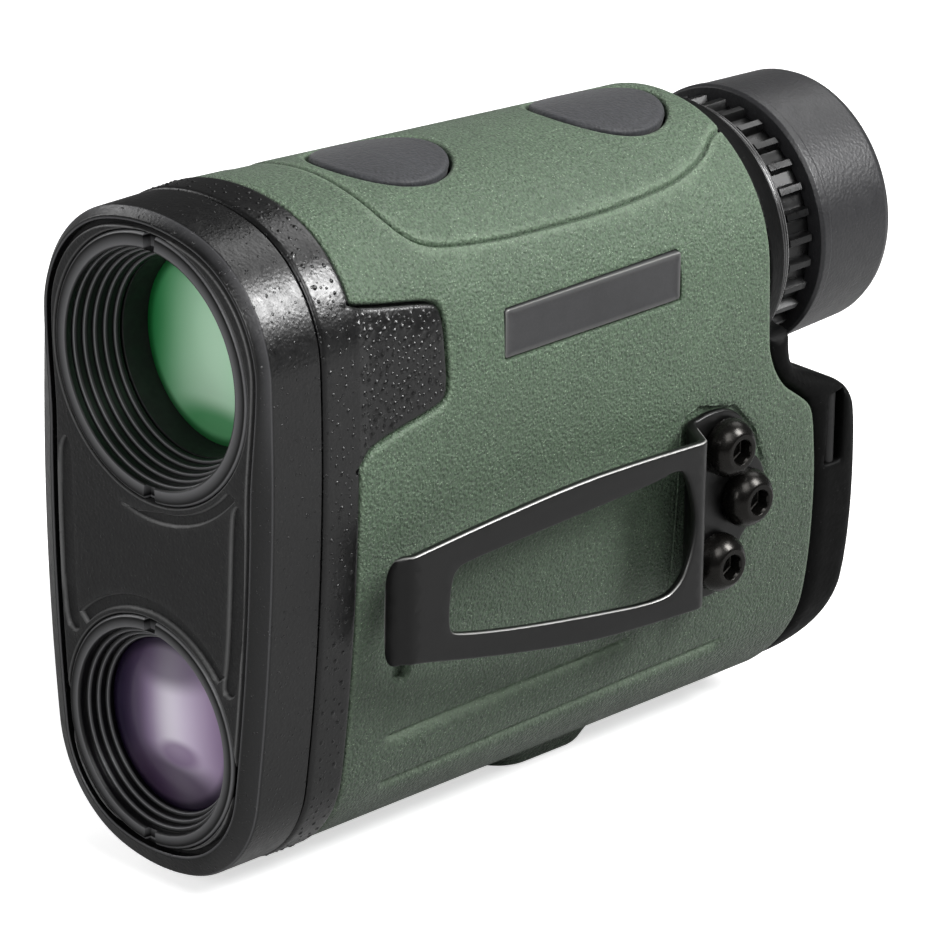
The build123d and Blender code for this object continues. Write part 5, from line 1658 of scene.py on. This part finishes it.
def bend_rows():
    """Upright mesh rows across the bends."""
    turning = np.unwrap(np.arctan2(_along[:, 1], _along[:, 0]))
    bend = np.abs(np.gradient(turning, _length))
    return [(np.array([(_length[i], z) for z in np.arange(-46, -19, 1.5)]), False)
            for i in range(0, len(_length), 5)
            if bend[i] > 0.05 and _length[i] < path_length(87.0)]


def build_clip():
    outer = CLIP_LIP_UPPER + unbent(CLIP_OUTLINE) + CLIP_LIP_LOWER
    outer = resample(smooth(np.array(outer), 2, True), 0.4, True)
    window = resample(smooth(np.array(unbent(CLIP_WINDOW)), 2, True), 0.4, True)
    holes = [np.array([(at + 1.6 * math.cos(angle), z + 1.6 * math.sin(angle))
                       for angle in np.linspace(0, TURN, 24, endpoint=False)])
             for at, z in unbent(CLIP_SCREWS)]
    rows = [(line, True) for line in [outer, window] + holes]
    for line, inward in ((outer, True), (window, False)):
        rows += rows_towards(line, (0.1, 0.22, 0.4), line, inward, True)
    rows += bend_rows()

    def keep(at):
        kept = inside(at, outer)
        for opening in [window] + holes:
            kept &= ~inside(at, opening)
        return kept

    def to_edge(at):
        return np.minimum(distance_to(at, outer, True), distance_to(at, window, True))

    points, faces = triangulate(rows, filler_grid(0, _length[-1], -46, -19, 1.2), keep, 0.35)
    at, z = points[:, 0], points[:, 1]
    depth = to_edge(points)
    half = 0.6 - edge_drop(depth, 0.4) * 0.8
    place, along = (np.stack([np.interp(at, _length, table[:, i]) for i in (0, 1)], 1)
                    for table in (_path, _along))
    normal = np.stack([along[:, 1], -along[:, 0]], 1)
    normal /= np.linalg.norm(normal, axis=1)[:, None]
    skins = [np.column_stack([place + normal * thick[:, None], z]) for thick in (half, -half)]
    verts, faces = close_sheet(faces, *skins)
    # painted highlight lines on upward-facing edges and on the lip's end
    upward = np.clip((depth - to_edge(points + [0, 0.05])) / 0.05, 0, 1) ** 2
    glow = upward * peak(depth - 0.08, 0.13) * (place[:, 1] < 72.6)
    glow = np.maximum(glow, 0.9 * peak(at - 0.12, 0.2))
    clip = piece("belt_clip", verts, faces, "steel_black", body=None,
                 replaces=("clip_arm", "clip_base"), sharp=40, edge=glow)
    start, end = to_scene(np.array(CLIP_FLEX))
    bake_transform(clip)


def hex_socket(angles, x, radius):
    """Turns the socket's rings, at the outer end of the screw, into hexagons."""
    socket = (x > 22.9) & (radius < 1.7) & (radius > 0.2)
    flat = radius * 1.08 * math.cos(PI / 6) / np.cos((angles + PI / 6) % (PI / 3) - PI / 6)
    return x, np.where(socket, flat, radius)


def build_screws():
    """Tall domed posts with hex sockets, one per clip hole."""
    dome = [(22.4 + 3.07 * math.sin(t), 3.9 * math.cos(t)) for t in np.linspace(0.0, 0.924, 12)]
    profile = rounded([(14.7, 0.0), (14.7, 1.45), (21.5, 1.45), (21.5, 3.7, 0.2),
                       (21.95, 3.9, 0.3)] + dome +
                      [(24.85, 1.75, 0.12), (24.55, 1.62), (23.1, 1.6), (23.0, 1.5),
                       (22.8, 0.0)], 6, closed=False)
    for i, place in enumerate(CLIP_SCREWS):
        lathe("clip_screw_%d" % (i + 1), profile, 0.0, "screw_black", 96, closed=False,
              reshape=hex_socket, about_x=place, replaces=("clip_screws",), sharp=35)


# ---------------------------------------------------------------------------
# Finishes for the CAD pieces that stay
# ---------------------------------------------------------------------------
FINISHES = {
    "anodised_black": ("objective_cell", "objective_spacer", "laser_cell", "eyepiece_cell"),
    "seal_rubber": ("objective_seal", "laser_seal", "lanyard_pin", "battery_cap_seal"),
    "optical_glass": ("objective_flint_lens", "half_penta_prism", "roof_prism", "field_lens",
                      "eye_lens"),
    "frame_grey": ("optics_frame", "prism_cage"),
    "steel_plain": ("prism_strap", "cage_screws", "board_screws"),
    "display_dark": ("reticle_display",),
    "housing_black": ("display_bracket", "laser_baffle", "main_housing", "battery_tube"),
    "board_green": ("laser_board", "main_board", "button_boards"),
    "diode_metal": ("laser_diode", "receiver_module"),
    "chip_black": ("processor_chips",),
    "brass_plain": ("tripod_insert", "clip_inserts"),
    "plunger_cream": ("menu_plunger", "measure_plunger"),
    "switch_shell": ("switch_bodies",),
    "contact_nickel": ("battery_terminal", "battery_contact"),
    "battery_wrap": ("battery",)}


def finish_cad_pieces():
    finish = {node: MAT[mat] for mat, nodes in FINISHES.items() for node in nodes}
    for name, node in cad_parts.items():
        if node.hide_render:
            continue
        if not node.material_slots:
            node.data.materials.append(finish[name])
        for slot in node.material_slots:
            slot.material = finish[name]


# ---------------------------------------------------------------------------
# Stage: pale floor that vanishes from below, soft lights, camera; in metres
# ---------------------------------------------------------------------------
AMBIENT = 0.15
FLOOR_Z = -0.0002
LIGHT_TARGET = (0.0, 0.0, 0.045)
# name, place, width, watts, height
LIGHTS = [("top_right", (0.40, -0.12, 0.48), 0.24, 1.55, 0.30),
          ("shoulder", (0.33, 0.28, 0.385), 0.145, 3.6, 0.20),
          ("top_back", (-0.05, 0.42, 0.50), 0.30, 0.9, 0.30),
          ("left_rim", (-0.55, -0.20, 0.30), 0.22, 1.0, 0.40),
          ("front_right", (0.20, -0.66, 0.30), 0.26, 1.95, 0.26)]
CAMERA_PLACE = (0.5568, -0.56046, 0.36062)
CAMERA_ANGLES = (45.18, 22.17, 0.98)            # degrees round, up and rolled
CAMERA_LENS = 254.31


def floor_material():
    nodes = material_nodes("floor_pale")
    seen = nodes.add("ShaderNodeLightPath").outputs["Is Camera Ray"]
    pale = nodes.ramp(nodes.noise(0.01, 2), [(0.3, linear((0.965, 0.965, 0.965))),
                                             (0.7, linear((0.985, 0.985, 0.985)))])
    shader = nodes.principled(Base_Color=nodes.mix(seen, grey(0.42), pale), Roughness=0.9,
                              Specular_IOR_Level=0.1)
    glow = nodes.add("ShaderNodeEmission")
    glow.inputs["Color"].default_value = (1, 1, 1, 1)
    nodes.link(nodes.math("MULTIPLY", seen, 0.62), glow.inputs["Strength"])
    both = nodes.add("ShaderNodeAddShader")
    nodes.link(shader.outputs[0], both.inputs[0])
    nodes.link(glow.outputs[0], both.inputs[1])
    sides = nodes.add("ShaderNodeMixShader")
    nodes.link(nodes.add("ShaderNodeNewGeometry").outputs["Backfacing"], sides.inputs[0])
    nodes.link(both.outputs[0], sides.inputs[1])
    nodes.link(nodes.add("ShaderNodeBsdfTransparent").outputs[0], sides.inputs[2])
    nodes.link(sides.outputs[0], nodes.out.inputs[0])
    return nodes.material


def build_floor():
    mesh = bpy.data.meshes.new("floor")
    corners = [(x, y, FLOOR_Z) for x, y in ((-3, -3), (3, -3), (3, 3), (-3, 3))]
    mesh.from_pydata(corners, [], [(0, 1, 2, 3)])
    floor = bpy.data.objects.new("floor", mesh)
    bpy.context.scene.collection.objects.link(floor)
    mesh.materials.append(floor_material())


def build_world():
    """White to the camera; a dim light from above to everything else."""
    world = bpy.data.worlds.new("studio")
    bpy.context.scene.world = world
    world.use_nodes = True
    nodes = Nodes(world.node_tree, "ShaderNodeOutputWorld")
    direction = nodes.add("ShaderNodeTexCoord").outputs["Generated"]
    height = nodes.map_range(nodes.separate(direction)[2], -1, 1)
    ambient = nodes.add("ShaderNodeBackground")
    nodes.link(nodes.ramp(height, [(0, (0.16, 0.16, 0.165, 1)), (1, 1)]), ambient.inputs[0])
    ambient.inputs[1].default_value = AMBIENT
    white = nodes.add("ShaderNodeBackground")
    white.inputs[0].default_value = (1, 1, 1, 1)
    white.inputs[1].default_value = 1.0
    seen = nodes.add("ShaderNodeLightPath").outputs["Is Camera Ray"]
    mixed = nodes.add("ShaderNodeMixShader")
    for i, source in enumerate((seen, ambient.outputs[0], white.outputs[0])):
        nodes.link(source, mixed.inputs[i])
    nodes.link(mixed.outputs[0], nodes.out.inputs[0])


def build_lights():
    for name, place, width, watts, height in LIGHTS:
        light = bpy.data.lights.new(name, "AREA")
        light.shape = "RECTANGLE"
        light.size, light.size_y = width, height
        light.energy = watts
        lamp = bpy.data.objects.new(name, light)
        lamp.location = place
        lamp.rotation_mode = "QUATERNION"
        aim = Vector(LIGHT_TARGET) - Vector(place)
        lamp.rotation_quaternion = aim.to_track_quat("-Z", "Y")
        bpy.context.scene.collection.objects.link(lamp)


def build_camera():
    around, tilt, roll = (math.radians(angle) for angle in CAMERA_ANGLES)
    back = Vector((math.sin(around) * math.cos(tilt), -math.cos(around) * math.cos(tilt),
                   math.sin(tilt)))
    level = Vector((math.cos(around), math.sin(around), 0))
    upright = back.cross(level)
    right = level * math.cos(roll) + upright * math.sin(roll)
    up = -level * math.sin(roll) + upright * math.cos(roll)
    camera = bpy.data.cameras.new("camera")
    camera.sensor_width, camera.lens = 36.0, CAMERA_LENS
    camera.clip_start, camera.clip_end = 0.05, 20
    made = bpy.data.objects.new("camera", camera)
    made.matrix_world = Matrix([(right[i], up[i], back[i], CAMERA_PLACE[i]) for i in range(3)]
                               + [(0, 0, 0, 1)])
    bpy.context.scene.collection.objects.link(made)
    bpy.context.scene.camera = made


build_armour()
build_band()
build_bezel()
build_front_optics()
build_eyepiece()
build_cover()
build_pad()
build_battery_cap()
build_button("menu_key", MENU_Y, "menu_button")
build_button("measure_key", MEASURE_Y, "measure_button")
build_badges()
build_clip()
build_screws()
finish_cad_pieces()
build_floor()
build_world()
build_lights()
build_camera()
bpy.context.scene.view_settings.view_transform = "Standard"
